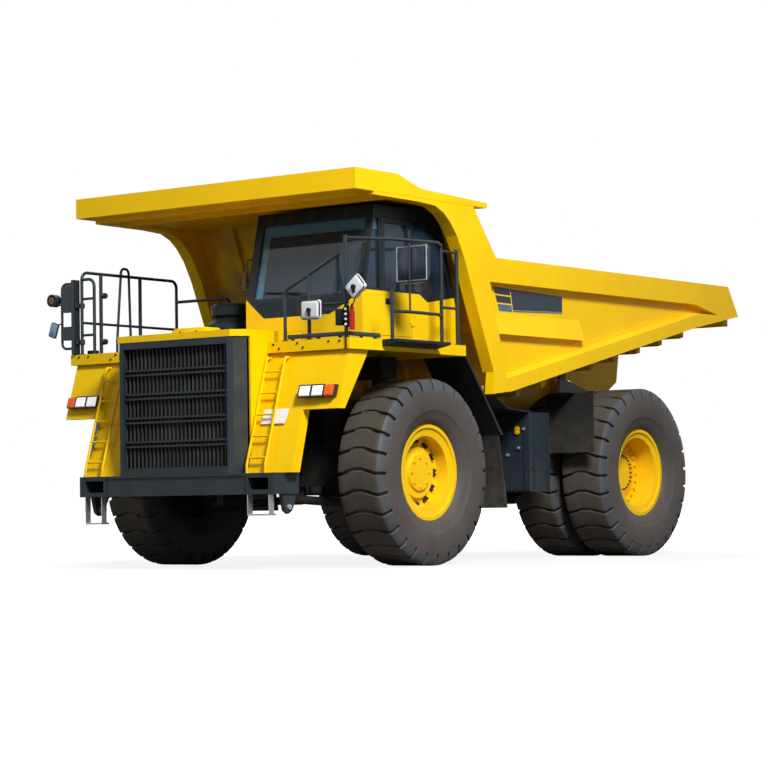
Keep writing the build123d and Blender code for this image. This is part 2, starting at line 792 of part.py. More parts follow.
# ---------------------------------------------------------------- tanks
tank_front, tank_back = rear_y - 1900, rear_y - 1440
tank_x = (1000, 1750)
with BuildPart() as tank:
    add(block(tank_x, (tank_front, tank_back), (830, 1800)))
    fillet(tank.edges().filter_by(Axis.X), 30)
    for place in (tank_front + 30, tank_back - 140):
        add(block((rail_outer_x, tank_x[0] + 1), (place, place + 100), (1560, 1700)))
    # Sloped guard from the tank's top up towards the deck
    add(plate_yz([(axle_y + 1500, 2050), (tank_front - 440, 1830), (tank_front + 60, 1790),
                  (tank_front + 60, 1815), (tank_front - 440, 1845), (axle_y + 1500, 2065)],
                 *tank_x))
save(tank.part, "fuel_tank")
save(mirrored(tank.part), "hydraulic_tank")

# ---------------------------------------------------------------- front suspension and knuckles
bush_half = arm_lug_edge - 21
with BuildPart() as front_arm:
    for fore in (-1, 1):
        pivot = axle_y + fore * arm_pivot_y
        add(bar((kingpin_x, axle_y, arm_ball_z - 12), (arm_pivot_x, pivot, arm_pivot_z), 50))
        add(bar((arm_pivot_x, pivot - bush_half, arm_pivot_z),
                (arm_pivot_x, pivot + bush_half, arm_pivot_z), 68))
    for fore in (-1, 1):
        pivot = axle_y + fore * arm_pivot_y
        add(bar((arm_pivot_x, pivot - bush_half - 1, arm_pivot_z),
                (arm_pivot_x, pivot + bush_half + 1, arm_pivot_z), arm_pin + running_gap),
            mode=Mode.SUBTRACT)
    add(bar((kingpin_x, axle_y, arm_ball_z - 55),
            (kingpin_x, axle_y, arm_ball_z + 56 - running_gap), 90))
pair(front_arm.part, "front_arms")

with BuildPart() as knuckle:
    add(bar((kingpin_x, axle_y, arm_ball_z + 56), (kingpin_x, axle_y, tower_z - strut_gap),
            strut_radius))
    add(cross_bar(axle_y, axle_z, kingpin_x, front_tyre_x + spindle_reach, spindle_radius))
    add(bar((kingpin_x, axle_y, 900), (kingpin_x - 60, axle_y + 400, 900), 50))
both_sides(knuckle.part, "knuckle")


# ---------------------------------------------------------------- wheels
def ring_corner(x, y, radius, step):
    """A corner of a flat-sided ring whose flats stand at radius from the axle line."""
    angle = 2 * math.pi * (step + 0.5) / lug_count
    reach = radius / math.cos(math.pi / lug_count)
    return Vector(x, y + reach * math.cos(angle), axle_z + reach * math.sin(angle))


def tyre(x, y):
    """Lugged tyre about the axle line, centred at x, with a flat under each lug."""
    root = tyre_radius - lug_height
    belly = (flange_radius + tyre_radius) / 2
    half_profile = [(rim_width / 2 - flange_width, rim_radius),
                    (rim_width / 2, flange_radius + running_gap),
                    (tyre_width / 2, belly), (tread_half, root)]
    profile = ([(x + across, radius) for across, radius in half_profile]
               + [(x - across, radius) for across, radius in reversed(half_profile)])
    faces = []
    for step in range(lug_count):
        for (x_a, r_a), (x_b, r_b) in zip(profile, profile[1:] + profile[:1]):
            corners = [ring_corner(x_a, y, r_a, step), ring_corner(x_b, y, r_b, step),
                       ring_corner(x_b, y, r_b, step + 1), ring_corner(x_a, y, r_a, step + 1)]
            faces.append(Face(Wire.make_polygon(corners, close=True)))
    carcass = Solid(Shell(faces))
    foot = tread_half + lug_runout
    with BuildPart() as lug:
        with BuildSketch(Plane.XZ.offset(-lug_width / 2)):
            Polygon((-foot, root - 60), (foot, root - 60), (tread_half - 10, tyre_radius),
                    (10 - tread_half, tyre_radius), align=None)
        extrude(amount=lug_width)
    lugs = [Pos(x, y, axle_z) * Rot(360 * step / lug_count, 0, 0) * lug.part
            for step in range(lug_count)]
    return carcass.fuse(*lugs)


lip = rim_width / 2
seat = lip - flange_width
bead = rim_radius - running_gap
front_disc = (-30, 20)
# Outward side of a rim from its lip to its opening: (across, radius)
front_face = [(lip, lock_radius), (lip - 22, lock_radius - 6), (lip - 36, front_opening)]
rear_face = [(lip, lock_radius), (lip - 22, lock_radius - 6), (lip - 36, rear_opening)]
bead_line = [(-lip, flange_radius), (-seat, bead), (seat, bead), (lip, flange_radius)]
cap_face = 91
drum_step = 62
front_outline = [
    (-200, spindle_radius + running_gap), (-200, hub_radius), (front_disc[0], hub_radius),
    (front_disc[0], barrel_radius), (-lip, barrel_radius), *bead_line, *front_face,
    (front_disc[1], front_opening), (front_disc[1], front_drum_radius),
    (drum_step, front_drum_radius - 10), (drum_step, cap_radius + 15), (cap_face, cap_radius),
    (cap_face, 0), (spindle_reach + 1, 0), (spindle_reach + 1, spindle_radius + running_gap),
]
both_sides(turned([(front_tyre_x + across, radius) for across, radius in front_outline], axle_y),
           "front_rim")
both_sides(tyre(front_tyre_x, axle_y), "front_tyre")

outer_x = rear_tyre_x + twin_spacing / 2
inner_x = rear_tyre_x - twin_spacing / 2
disc_face, disc_back = -94, -134
hub_in = inner_x - seat
# One half of the twin rim, from the drive's face to the disc's back: (across, radius)
outer_half = [
    (-drive_recess, 0), (-drive_recess, drive_radius - 70), (disc_face + 10, drive_radius),
    (disc_face, drive_radius), (disc_face, rear_opening), *reversed(rear_face),
    *reversed(bead_line), (-lip, barrel_radius), (disc_back, barrel_radius),
    (disc_back, drive_radius),
]
inner_half = [
    (-disc_back, drive_radius), (-disc_back, barrel_radius), (lip, barrel_radius),
    *reversed(bead_line), *[(-across, radius) for across, radius in rear_face],
    (-disc_face, rear_opening), (-disc_face, drive_radius),
]
tube_end = outer_x - 101
rear_outline = [
    *[(outer_x + across, radius) for across, radius in outer_half],
    *[(inner_x + across, radius) for across, radius in inner_half],
    (hub_in, drive_radius), (hub_in, axle_tube_radius + running_gap),
    (tube_end + 1, axle_tube_radius + running_gap), (tube_end + 1, 0),
]
both_sides(turned(rear_outline, rear_y), "rear_rim")
with BuildPart() as rear_tyres:
    add(tyre(outer_x, rear_y))
    add(tyre(inner_x, rear_y))
both_sides(rear_tyres.part, "rear_tyres")

# ---------------------------------------------------------------- rear axle
half_profile = [(tube_end, axle_tube_radius), (720, axle_tube_radius), (690, 250), (450, 270),
                (230, 380)]
axle_outline = ([(-tube_end, 0), (tube_end, 0)] + half_profile
                + [(-x, radius) for x, radius in reversed(half_profile)])
with BuildPart() as rear_axle:
    add(turned(axle_outline, rear_y))
    add(bar((0, rear_y, axle_z), (0, nose_y, axle_z), 130))
    for side in (-1, 1):
        for (y, z), x in ((strut_foot, strut_x), (link_rear, link_x)):
            add(cross_bar(y, z, *ordered(side, x - 75, x + 75), link_pin))
            for edge in (-lug_offset, lug_offset):
                add(plate_yz([(rear_y, axle_z + 120), (y, z + 60), (y, z - 60),
                              (rear_y, axle_z - 120)],
                             *ordered(side, x + edge - 10, x + edge + 10)))
save(rear_axle.part, "rear_axle")

with BuildPart() as suspension:
    for side in (-1, 1):
        add(eye_link(strut_foot, strut_top, side * strut_x, 55, 60, link_pin))
        add(eye_link(link_rear, link_front, side * link_x, 45, 60, link_pin))
save(suspension.part, "rear_suspension")

# ---------------------------------------------------------------- bed
gusset_top = canopy_low - running_gap
post_front = at((371, gusset_top), (-1130, gusset_top), (-1130, 4115), (-300, 4108), (30, 4090),
                (200, 4020), (317, 3930), (450, 3780), (590, 3540), (1160, 2231))
post_back = at((1112, bed_rail_low), (1243, bed_rail_high), (787, gusset_top))
foot_corner, foot_back = at((1126, 1975), (1533, 2016))
tail_tip, tail_high, tail_notch, tail_low = rear_at(
    (2794, 3185), (2529, bed_rail_high), (1522, 3174), (1616, 2978))
side_outline = [*post_front, *at((1470, 2110)), *rear_at((1570, 3070)), tail_tip, tail_high,
                *post_back[1:]]
# Front post with its gusset, and the foot that carries the floor's front edge
post_outline = [*post_front, foot_corner, foot_back, *at((1414, 2212)), *post_back]
top_rail = [post_back[0], *rear_at((1616, bed_rail_low), (2400, 3150)), tail_tip, tail_high,
            post_back[1]]
low_rail = [foot_back, tail_low, tail_tip, tail_notch, *at((1414, 2212))]
wedge_low = 2690


def rail_under(y):
    """Height of the lower rail's bottom edge."""
    run = (y - foot_back[0]) / (tail_low[0] - foot_back[0])
    return foot_back[1] + run * (tail_low[1] - foot_back[1])


with BuildPart() as bed_side:
    add(plate_yz(side_outline, bed_half - bed_wall, bed_half))
    with BuildSketch(Plane.YZ.offset(bed_half)):
        for outline in (post_outline, top_rail, low_rail):
            Polygon(*outline, align=None)
    extrude(amount=rail_depth)
    ledge = bed_side.edges().filter_by(
        lambda edge: edge.length > 2000 and edge.center().X > bed_half + rail_depth - 1
        and abs((edge @ 0).Z + (edge @ 1).Z - low_rail[3][1] - low_rail[4][1]) < 60)
    chamfer(ledge, low_rail_bevel)
    # Pressed rib: its face leans out to a ledge
    add(plate_xz([(bed_half - 1, wedge_low), (bed_half + rail_depth - 20, wedge_low),
                  (bed_half - 1, wedge_low + side_wedge)], axle_y + 1280, axle_y + 3203))
pair(bed_side.part, "bed_sides")

floor_half = bed_half - bed_wall - running_gap
floor_line = [(y, floor_under(y)) for y in (bed_floor_front, floor_break, bed_tail)]
with BuildPart() as bed_floor:
    add(plate_yz(floor_line + [(y, z + bed_floor_plate) for y, z in reversed(floor_line)],
                 -floor_half, floor_half))
    # Outrigger ribs under the floor, outside the main beams
    for row in range(rib_count):
        y_low = axle_y + 1850 + row * rib_pitch
        y_high = y_low + rib_width
        rib = [(y_low, floor_under(y_low) + 1), (y_high, floor_under(y_high) + 1),
               (y_high, floor_under(y_high) - rib_depth), (y_low, floor_under(y_low) - rib_depth)]
        for side in (-1, 1):
            add(plate_yz(rib, *ordered(side, rail_outer_x + 90, floor_half)))
    # Tail beam
    tail_beam = (bed_tail - 160, bed_tail - 10)
    add(plate_yz([(y, floor_under(y) + 1) for y in tail_beam]
                 + [(y, floor_under(y) - 110) for y in reversed(tail_beam)],
                 -floor_half, floor_half))
save(bed_floor.part, "bed_floor")

wall_top = canopy_low - running_gap
knee = 3556
# Front face of the front wall, from its foot to the canopy
wall_face = at((1390, 2080), (607 + wall_setback, knee), (371 + wall_setback, wall_top))
wall_back = at((1439.7, 2131), (657 + wall_setback, knee), (421 + wall_setback, wall_top))
with BuildPart() as bed_front:
    add(plate_yz([*wall_face, *reversed(wall_back), *at((1439.7, 1985), (1190, 1985),
                                                        (1190, 2080))],
                 -floor_half, floor_half))
    for x in (-1400, -700, 0, 700, 1400):
        add(plate_yz([*wall_face, *[(y - wall_rib, z) for y, z in reversed(wall_face)]],
                     x - 30, x + 30))
save(bed_front.part, "bed_front")

with BuildPart() as canopy:
    add(block((-canopy_half, canopy_half), (canopy_front, canopy_back),
              (canopy_low, canopy_low + canopy_plate)))
    add(block((-canopy_half, canopy_half), (canopy_front, canopy_front + lip_sheet),
              (canopy_low, canopy_lip)))
    for side in (-1, 1):
        add(plate_yz([(canopy_front, canopy_low), (canopy_back, canopy_low),
                      (canopy_back, 4209), *at((-243, 4257), (-681, canopy_lip)),
                      (canopy_front, canopy_lip)],
                     *ordered(side, canopy_half, canopy_half - lip_sheet)))
    # Stiffeners across the underside, clear of the cab's roof
    for behind in (-1250, -800):
        add(block((-floor_half, floor_half), (axle_y + behind, axle_y + behind + 60),
                  (canopy_low - 50, canopy_low + 1)))
    for behind in (-300, 200):
        add(block((-bed_half, bed_half), (axle_y + behind, axle_y + behind + 60),
                  (canopy_low + canopy_plate - 1, canopy_low + canopy_plate + 50)))
save(canopy.part, "bed_canopy")

flap_x = (1590, 2270)
hanger_x = (bed_half + 5, bed_half + 29)
flap_top = 2039
with BuildPart() as flap:
    add(plate_yz([(flap_place, 1306), (flap_place + 16, 1306), (flap_place + 16, flap_top),
                  (flap_place, flap_top)], *flap_x))
    # Hanger under the bed's lower rail
    ends = (flap_place - 350, flap_place - 260)
    add(plate_yz([*[(y, rail_under(y) - running_gap) for y in ends],
                  (flap_place - 220, 2200), (flap_place + 270, 2075),
                  (flap_place + 270, flap_top - 1), (flap_place - 350, flap_top - 1)],
                 *hanger_x))
pair(flap.part, "rear_flaps")

beam_outline = [*at((1600, rail_top_z + 5)), *rear_at((1300, rail_top_z + 5), (2050, 2330)),
                *[(y, floor_under(y) - running_gap)
                  for y in (rear_y + 2200, floor_break, axle_y + 1600)]]
ear_outline = [(pivot_y - 200, rail_top_z + 60), (pivot_y + 200, rail_top_z + 60),
               (pivot_y + 130, pivot_z), (pivot_y, pivot_z - 130), (pivot_y - 130, pivot_z)]
with BuildPart() as underframe:
    for side in (-1, 1):
        add(plate_yz(beam_outline, *ordered(side, rail_inner_x, rail_outer_x)))
        for face, way in ((rail_outer_x, 1), (rail_inner_x, -1)):
            far = face + way * (ear_gap + ear_thickness)
            add(plate_yz(ear_outline, *ordered(side, face + way * ear_gap, far)))
            add(lug_block(ordered(side, face - way, far), pivot_y, 200,
                          (rail_top_z + 60, rail_top_z + 260)))
        head_y, head_z = hoist_head
        add(lug_block(ordered(side, rail_outer_x - 1, hoist_x - hoist_eye_half - 15), head_y, 110,
                      (head_z - 90, head_z + 220)))
        add(cross_bar(head_y, head_z, *ordered(side, rail_outer_x, hoist_x + 80),
                      hoist_pin_radius))
        add(cross_bar(pivot_y, pivot_z, *ordered(side, 250, 700), pivot_radius + running_gap),
            mode=Mode.SUBTRACT)
    for row in range(6):
        y = axle_y + 1800 + row * 700
        low = floor_under(y) - 150
        add(lug_block((-rail_inner_x - 1, rail_inner_x + 1), y, 50, (low, low + 100)))
save(underframe.part, "bed_underframe")

# ---------------------------------------------------------------- hoists
foot = Vector(hoist_x, *hoist_foot)
head = Vector(hoist_x, *hoist_head)
along = (head - foot).normalized()
gland = foot + along * hoist_barrel_length
eye_span = (hoist_x - hoist_eye_half, hoist_x + hoist_eye_half)
bore_span = (eye_span[0] - 1, eye_span[1] + 1)
with BuildPart() as barrel:
    add(bar(foot + along * 60, gland, hoist_barrel_radius))
    add(bar(gland - along * 60, gland, hoist_barrel_radius + 12))
    add(cross_bar(foot.Y, foot.Z, *eye_span, 90))
    add(bar(foot + along * 200, gland + along, hoist_rod_radius + running_gap), mode=Mode.SUBTRACT)
    add(cross_bar(foot.Y, foot.Z, *bore_span, hoist_pin_radius + running_gap),
        mode=Mode.SUBTRACT)
both_sides(barrel.part, "hoist_barrel")

with BuildPart() as rod:
    add(bar(foot + along * 220, head - along * 90, hoist_rod_radius))
    add(cross_bar(head.Y, head.Z, *eye_span, hoist_eye_radius))
    # The eye's bore leaves its pin room to shift as the bed tips
    add(cross_bar(head.Y, head.Z, *bore_span, hoist_pin_radius + hoist_eye_play),
        mode=Mode.SUBTRACT)
both_sides(rod.part, "hoist_rod")
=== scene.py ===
# %% [markdown]
# # Dressing a mining dump truck
# The truck's solids come from its CAD frame, already at their true size and place.
# This notebook gives them light, paint, dust, rubber and glass, and adds the small
# things that solids leave out: lugs, bolts, wipers, stripes, lenses and fittings.

# %% Load the frame
import bpy
import bmesh
import math
from mathutils import Vector, Matrix


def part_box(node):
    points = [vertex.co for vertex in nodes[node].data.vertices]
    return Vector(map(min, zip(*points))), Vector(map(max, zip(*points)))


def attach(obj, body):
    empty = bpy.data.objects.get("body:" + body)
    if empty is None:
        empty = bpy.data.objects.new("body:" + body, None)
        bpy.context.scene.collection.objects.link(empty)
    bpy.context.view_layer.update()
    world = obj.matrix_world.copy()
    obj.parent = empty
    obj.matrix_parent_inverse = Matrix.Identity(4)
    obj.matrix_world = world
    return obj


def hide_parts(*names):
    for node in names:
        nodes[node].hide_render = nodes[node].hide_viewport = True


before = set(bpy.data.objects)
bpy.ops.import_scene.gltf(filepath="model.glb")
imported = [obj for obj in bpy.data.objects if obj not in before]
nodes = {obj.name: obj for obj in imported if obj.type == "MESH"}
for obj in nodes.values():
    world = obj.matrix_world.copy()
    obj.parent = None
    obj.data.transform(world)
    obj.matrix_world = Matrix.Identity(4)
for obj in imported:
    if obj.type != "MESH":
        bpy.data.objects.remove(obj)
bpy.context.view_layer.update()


# %% [markdown]
# ## Camera
# A long lens far away flattens the truck, as in a catalogue picture. The camera stands
# low, at about the height of the bumper, off the truck's front left corner. It looks
# slightly up and is rolled by less than a degree, so its axes are worked out from the
# three angles and written to its matrix.

# %% Camera
AZIMUTH, TILT, ROLL = math.radians(36.878), math.radians(2.765), math.radians(-0.851)
forward = Vector((-math.sin(AZIMUTH) * math.cos(TILT), math.cos(AZIMUTH) * math.cos(TILT),
                  math.sin(TILT)))
level = Vector((math.cos(AZIMUTH), math.sin(AZIMUTH), 0))
upward = level.cross(forward)
across = math.cos(ROLL) * level + math.sin(ROLL) * upward
upright = -math.sin(ROLL) * level + math.cos(ROLL) * upward
EYE, SENSOR, FOCAL_SHARE = (18.301, -25.078, 0.723), 36, 2456.02 / 768
lens = bpy.data.cameras.new("camera")
lens.sensor_width = SENSOR
lens.lens = FOCAL_SHARE * SENSOR
lens.clip_end = 500
camera = bpy.data.objects.new("camera", lens)
bpy.context.scene.collection.objects.link(camera)
camera.matrix_world = Matrix.Translation(EYE) @ Matrix(
    (across, upright, -forward)).transposed().to_4x4()
bpy.context.scene.camera = camera
print("camera", [round(v, 2) for v in camera.location], "lens", round(lens.lens, 1))


# %% [markdown]
# ## Nodes, in few words
# A material is a tree of small nodes. These helpers add one node, or one sum, and join
# it to what it works on, so that each finish further down reads as a short recipe. A
# value may be a plain number or another node's output.

# %% Node helpers
def node(tree, kind, **values):
    """A shader node with its properties set."""
    made = tree.nodes.new(kind)
    for name, value in values.items():
        setattr(made, name, value)
    return made


def feed(tree, socket, value):
    """Sets a socket to a number or a colour, or joins it to an output."""
    if isinstance(value, (int, float)):
        socket.default_value = value
    elif isinstance(value, tuple):
        socket.default_value = (*value, 1)
    else:
        tree.links.new(value, socket)


def work_out(tree, operation, *values, clamp=False):
    """The result of a sum on numbers and outputs."""
    made = node(tree, "ShaderNodeMath", operation=operation, use_clamp=clamp)
    for socket, value in zip(made.inputs, values):
        feed(tree, socket, value)
    return made.outputs[0]


def ramp(tree, value, low, high, first=0.0, last=1.0):
    """Maps a value's span low to high onto first to last, clamped."""
    span = node(tree, "ShaderNodeMapRange")
    for slot, number in zip(("Value", "From Min", "From Max", "To Min", "To Max"),
                            (value, low, high, first, last)):
        feed(tree, span.inputs[slot], number)
    return span.outputs[0]


def blend_shaders(tree, share, first, last, end):
    """Mixes two shaders by a share, into the tree's end."""
    blend = node(tree, "ShaderNodeMixShader")
    for socket, value in zip(blend.inputs, (share, first, last)):
        tree.links.new(value, socket)
    tree.links.new(blend.outputs[0], tree.nodes[end].inputs["Surface"])


print("node helpers ready")


# %% [markdown]
# ## Floor, background and light
# A wide pale floor takes the truck's shadow. The background is white for the camera and
# for mirrors and glass, but the light that reaches the paint comes from a soft grey sky
# and three large lamps, so that colours stay as they are written.

# %% Floor
bpy.context.scene.view_settings.view_transform = "Standard"
bpy.ops.object.select_all(action="DESELECT")
bpy.ops.mesh.primitive_plane_add(size=400)
floor = bpy.context.object
floor.name = "floor"
floor_paint = bpy.data.materials.new("pale_floor")
floor_paint.use_nodes = True
ground = floor_paint.node_tree
shader = ground.nodes["Principled BSDF"]
shader.inputs["Base Color"].default_value = (0.22, 0.21, 0.20, 1)
shader.inputs["Roughness"].default_value = 0.9
shader.inputs["Specular IOR Level"].default_value = 0.0
glow = node(ground, "ShaderNodeEmission")
glow.inputs["Color"].default_value = (1, 1, 1, 1)
glow.inputs["Strength"].default_value = 1.6
place = node(ground, "ShaderNodeTexCoord")
distance = node(ground, "ShaderNodeVectorMath", operation="LENGTH")
ground.links.new(place.outputs["Object"], distance.inputs[0])
SHADOW_REACH, SHADOW_END, NEAR_GLOW = 4.0, 9.0, 0.55
whiter = ramp(ground, distance.outputs["Value"], SHADOW_REACH, SHADOW_END, NEAR_GLOW, 1.0)
rays = node(ground, "ShaderNodeLightPath")
blend_shaders(ground, work_out(ground, "MULTIPLY", rays.outputs["Is Camera Ray"], whiter),
              shader.outputs[0], glow.outputs[0], "Material Output")
floor.data.materials.append(floor_paint)
print("floor made")


# %% Sky and lamps
world = bpy.data.worlds.new("sky")
bpy.context.scene.world = world
world.use_nodes = True
sky = world.node_tree
soft = sky.nodes["Background"]
soft.inputs["Color"].default_value = (0.80, 0.88, 1.0, 1)
soft.inputs["Strength"].default_value = 0.17
white = node(sky, "ShaderNodeBackground")
white.inputs["Color"].default_value = (1, 1, 1, 1)
rays = node(sky, "ShaderNodeLightPath").outputs
seen = work_out(sky, "MAXIMUM", rays["Is Camera Ray"], rays["Is Glossy Ray"])
seen = work_out(sky, "MAXIMUM", seen, rays["Is Transmission Ray"])
blend_shaders(sky, seen, soft.outputs[0], white.outputs[0], "World Output")


def lamp(name, place, target, size, power):
    """A large square lamp that faces a point."""
    light = bpy.data.lights.new(name, "AREA")
    light.size = size
    light.energy = power
    body = bpy.data.objects.new(name, light)
    bpy.context.scene.collection.objects.link(body)
    body.location = place
    body.rotation_euler = (Vector(target) - Vector(place)).to_track_quat("-Z", "Y").to_euler()


lamp("key", (14, -11, 13.5), (0, 0, 1.5), 4, 4900)
lamp("front_fill", (-9, -17, 7), (0, -3, 1.5), 10, 230)
lamp("back_rim", (-8, 14, 12), (0, 2, 2), 8, 900)
print("lamps: key, front fill, back rim")


# %% [markdown]
# ## A maker of worn finishes
# Paint, rubber and steel on a mine truck share the same story: one base colour, slow
# patches where it faded, a fine speckle, and pale dust that settles low down. One helper
# builds that story from noise on Object coordinates, in metres, so nothing slides when
# a part moves. Each finish then states its own colours and gloss.

# %% Finish helper
dust_colour = (0.36, 0.31, 0.25)


def noise(tree, place, scale, detail=4, rough=0.55, stretch=None):
    """A noise value on object coordinates, stretched where asked."""
    texture = node(tree, "ShaderNodeTexNoise")
    texture.inputs["Scale"].default_value = scale
    texture.inputs["Detail"].default_value = detail
    texture.inputs["Roughness"].default_value = rough
    if stretch:
        mapping = node(tree, "ShaderNodeMapping")
        mapping.inputs["Scale"].default_value = stretch
        tree.links.new(place, mapping.inputs["Vector"])
        place = mapping.outputs[0]
    tree.links.new(place, texture.inputs["Vector"])
    return texture.outputs["Fac"]


def mix(tree, factor, first, last):
    """A colour between two colours or colour sockets."""
    blender = node(tree, "ShaderNodeMix", data_type="RGBA")
    feed(tree, blender.inputs["Factor"], factor)
    for slot, colour in (("A", first), ("B", last)):
        feed(tree, [s for s in blender.inputs if s.name == slot and s.type == "RGBA"][0], colour)
    return [s for s in blender.outputs if s.type == "RGBA"][0]


def multiply(tree, first, last):
    """The product of two values."""
    return work_out(tree, "MULTIPLY", first, last)


def finish(name, base, faded, gloss=0.35, metal=0.0, dust=0.35, dust_top=1.6,
           speckle=90.0, bump=0.15, grain=60.0, streaks=0.25, shine=0.3, recolour=None):
    """A worn finish: fading, streaks, speckle, low dust, and a fine bump."""
    made = bpy.data.materials.new(name)
    made.use_nodes = True
    tree = made.node_tree
    shader = tree.nodes["Principled BSDF"]
    place = node(tree, "ShaderNodeTexCoord").outputs["Object"]
    axes = node(tree, "ShaderNodeSeparateXYZ")
    tree.links.new(place, axes.inputs[0])
    patches = ramp(tree, noise(tree, place, 1.7, 5), 0.35, 0.7)
    colour = mix(tree, multiply(tree, patches, 0.8), base, faded)
    if recolour:
        colour = recolour(tree, place, axes, colour)
    runs = ramp(tree, noise(tree, place, 9, 3, stretch=(1, 1, 0.12)), 0.52, 0.75)
    dark = tuple(channel * 0.55 for channel in base)
    colour = mix(tree, multiply(tree, runs, streaks), colour, dark)
    low = ramp(tree, axes.outputs["Z"], 0.2, dust_top, 1, 0)
    spread = ramp(tree, noise(tree, place, 4, 8, 0.7), 0.25, 0.75)
    dirt = multiply(tree, multiply(tree, low, spread), dust)
    specks = ramp(tree, noise(tree, place, speckle, 2), 0.62, 0.72)
    settled = work_out(tree, "MULTIPLY_ADD", specks, 0.12 * min(1.0, dust * 2), dirt, clamp=True)
    colour = mix(tree, settled, colour, dust_colour)
    tree.links.new(colour, shader.inputs["Base Color"])
    shader.inputs["Metallic"].default_value = metal
    shader.inputs["Specular IOR Level"].default_value = shine
    tree.links.new(ramp(tree, settled, 0, 0.8, gloss, min(1.0, gloss + 0.4)),
                   shader.inputs["Roughness"])
    relief = node(tree, "ShaderNodeBump")
    relief.inputs["Strength"].default_value = bump
    relief.inputs["Distance"].default_value = 0.004
    tree.links.new(noise(tree, place, grain, 6), relief.inputs["Height"])
    tree.links.new(relief.outputs[0], shader.inputs["Normal"])
    return made


print("finish helper ready")


# %% [markdown]
# ## Paint and metal
# The machine wears two paints: a warm gloss yellow on bed, fenders, deck, hood and rims,
# and a dark blue-black on frame, bumper, grille, cab top and rails. Steel parts that get
# walked on are bare zinc. The cab is one pressed shell in two paints, so its finish
# changes colour along a line: yellow low and behind, dark above and in front.

# %% Paints
fresh_yellow, faded_yellow = (0.95, 0.60, 0.001), (0.90, 0.53, 0.001)
fresh_dark, faded_dark = (0.013, 0.021, 0.027), (0.022, 0.034, 0.043)
yellow = finish("yellow_paint", fresh_yellow, faded_yellow, gloss=0.33, dust=0.08, dust_top=1.3,
                bump=0.05, streaks=0.06, shine=0.10)
dark = finish("dark_paint", fresh_dark, faded_dark, gloss=0.42, dust=0.12, dust_top=1.5,
              bump=0.08, streaks=0.1, shine=0.22)
rail_paint = finish("rail_paint", fresh_dark, faded_dark, gloss=0.4, dust=0.05, dust_top=1.5,
                    bump=0.05, shine=0.35)
frame_iron = finish("frame_iron", (0.012, 0.013, 0.015), (0.022, 0.021, 0.02), gloss=0.55,
                    dust=0.25, dust_top=1.9, bump=0.2, shine=0.15)
zinc = finish("zinc_steel", (0.50, 0.52, 0.55), (0.62, 0.64, 0.66), gloss=0.38, metal=0.9,
              dust=0.25, dust_top=1.2, bump=0.15, speckle=160)
chrome = finish("bright_rod", (0.75, 0.76, 0.78), (0.66, 0.67, 0.69), gloss=0.12, metal=1.0,
                dust=0.1, bump=0.02)
rubber = finish("flap_rubber", (0.012, 0.013, 0.014), (0.022, 0.021, 0.019), gloss=0.6,
                dust=0.45, dust_top=1.9, bump=0.25, grain=25, shine=0.2)
tread_rubber = finish("tread_rubber", (0.050, 0.043, 0.037), (0.085, 0.074, 0.062), gloss=0.75,
                      dust=0.16, dust_top=2.6, bump=0.45, grain=28, speckle=60)
wall_rubber = finish("sidewall_rubber", (0.058, 0.050, 0.047), (0.080, 0.071, 0.066), gloss=0.62,
                     dust=0.12, dust_top=2.6, bump=0.25, grain=35, speckle=60, streaks=0.1)
# The tyres' shoulders are rubber with a painted sheen: a bluish grey for the sky's light on their
# curve.
shoulder_sheen_rubber = finish("shoulder_sheen_rubber", (0.045, 0.050, 0.058), (0.080, 0.083, 0.088),
                         gloss=0.55, dust=0.15, dust_top=2.6, bump=0.35, grain=30, speckle=60)
nut_steel = finish("nut_steel", (0.02, 0.018, 0.016), (0.05, 0.04, 0.03), gloss=0.5, metal=0.4,
                   dust=0.2, bump=0.1)
cloth = finish("seat_cloth", (0.02, 0.02, 0.022), (0.04, 0.04, 0.042), gloss=0.85, dust=0.0,
               bump=0.5, grain=220)
tank_paint = finish("tank_paint", (0.020, 0.028, 0.036), (0.030, 0.040, 0.052), gloss=0.4,
                    dust=0.12, dust_top=1.1, bump=0.08)
inside_bed = finish("worn_bed_steel", fresh_yellow, (0.30, 0.20, 0.09), gloss=0.5,
                    dust=0.3, dust_top=4.0, bump=0.3, shine=0.1)


def greater(tree, value, limit):
    """One where the value is over a limit."""
    return work_out(tree, "GREATER_THAN", value, limit)


def slope(tree, value, gain, offset):
    """A straight line: the value times a gain, plus an offset."""
    return work_out(tree, "MULTIPLY_ADD", value, gain, offset)


def extreme(tree, kind, found, *others):
    """The highest (MAXIMUM) or lowest (MINIMUM) of several values."""
    for other in others:
        found = work_out(tree, kind, found, other)
    return found


def size_of(tree, value):
    """A value without its sign."""
    return work_out(tree, "ABSOLUTE", value)


# Cab paint: the panel's y, the belt line's height, and the notch's place and depth
CAB_FRONT_Y, BELT, NOTCH_Y, NOTCH_DEPTH = 3.355, 3.105, 2.171, 0.085


def cab_paint(tree, place, axes, colour):
    """Dark above a belt line with a notch, and in a tapered panel under the windscreen."""
    x, y, z = (axes.outputs[name] for name in "XYZ")
    notch = extreme(tree, "MINIMUM", slope(tree, y, -0.154, NOTCH_DEPTH - 0.154 * NOTCH_Y),
                    slope(tree, y, 0.55, NOTCH_DEPTH + 0.55 * NOTCH_Y))
    dip = extreme(tree, "MAXIMUM", notch, 0.0)
    above_belt = greater(tree, z, slope(tree, dip, -1, BELT))
    panel_foot = extreme(tree, "MAXIMUM", slope(tree, x, -0.88, 2.855 + 0.329 * 0.88),
                         slope(tree, x, 0.5, 2.846 - 1.285 * 0.5), 2.85)
    in_front = greater(tree, slope(tree, y, -1, 0), CAB_FRONT_Y)
    panel = multiply(tree, in_front, greater(tree, z, panel_foot))
    return mix(tree, extreme(tree, "MAXIMUM", above_belt, panel), colour, fresh_dark)


WALKWAY_X, TREAD_Z = 2.088, 2.5195


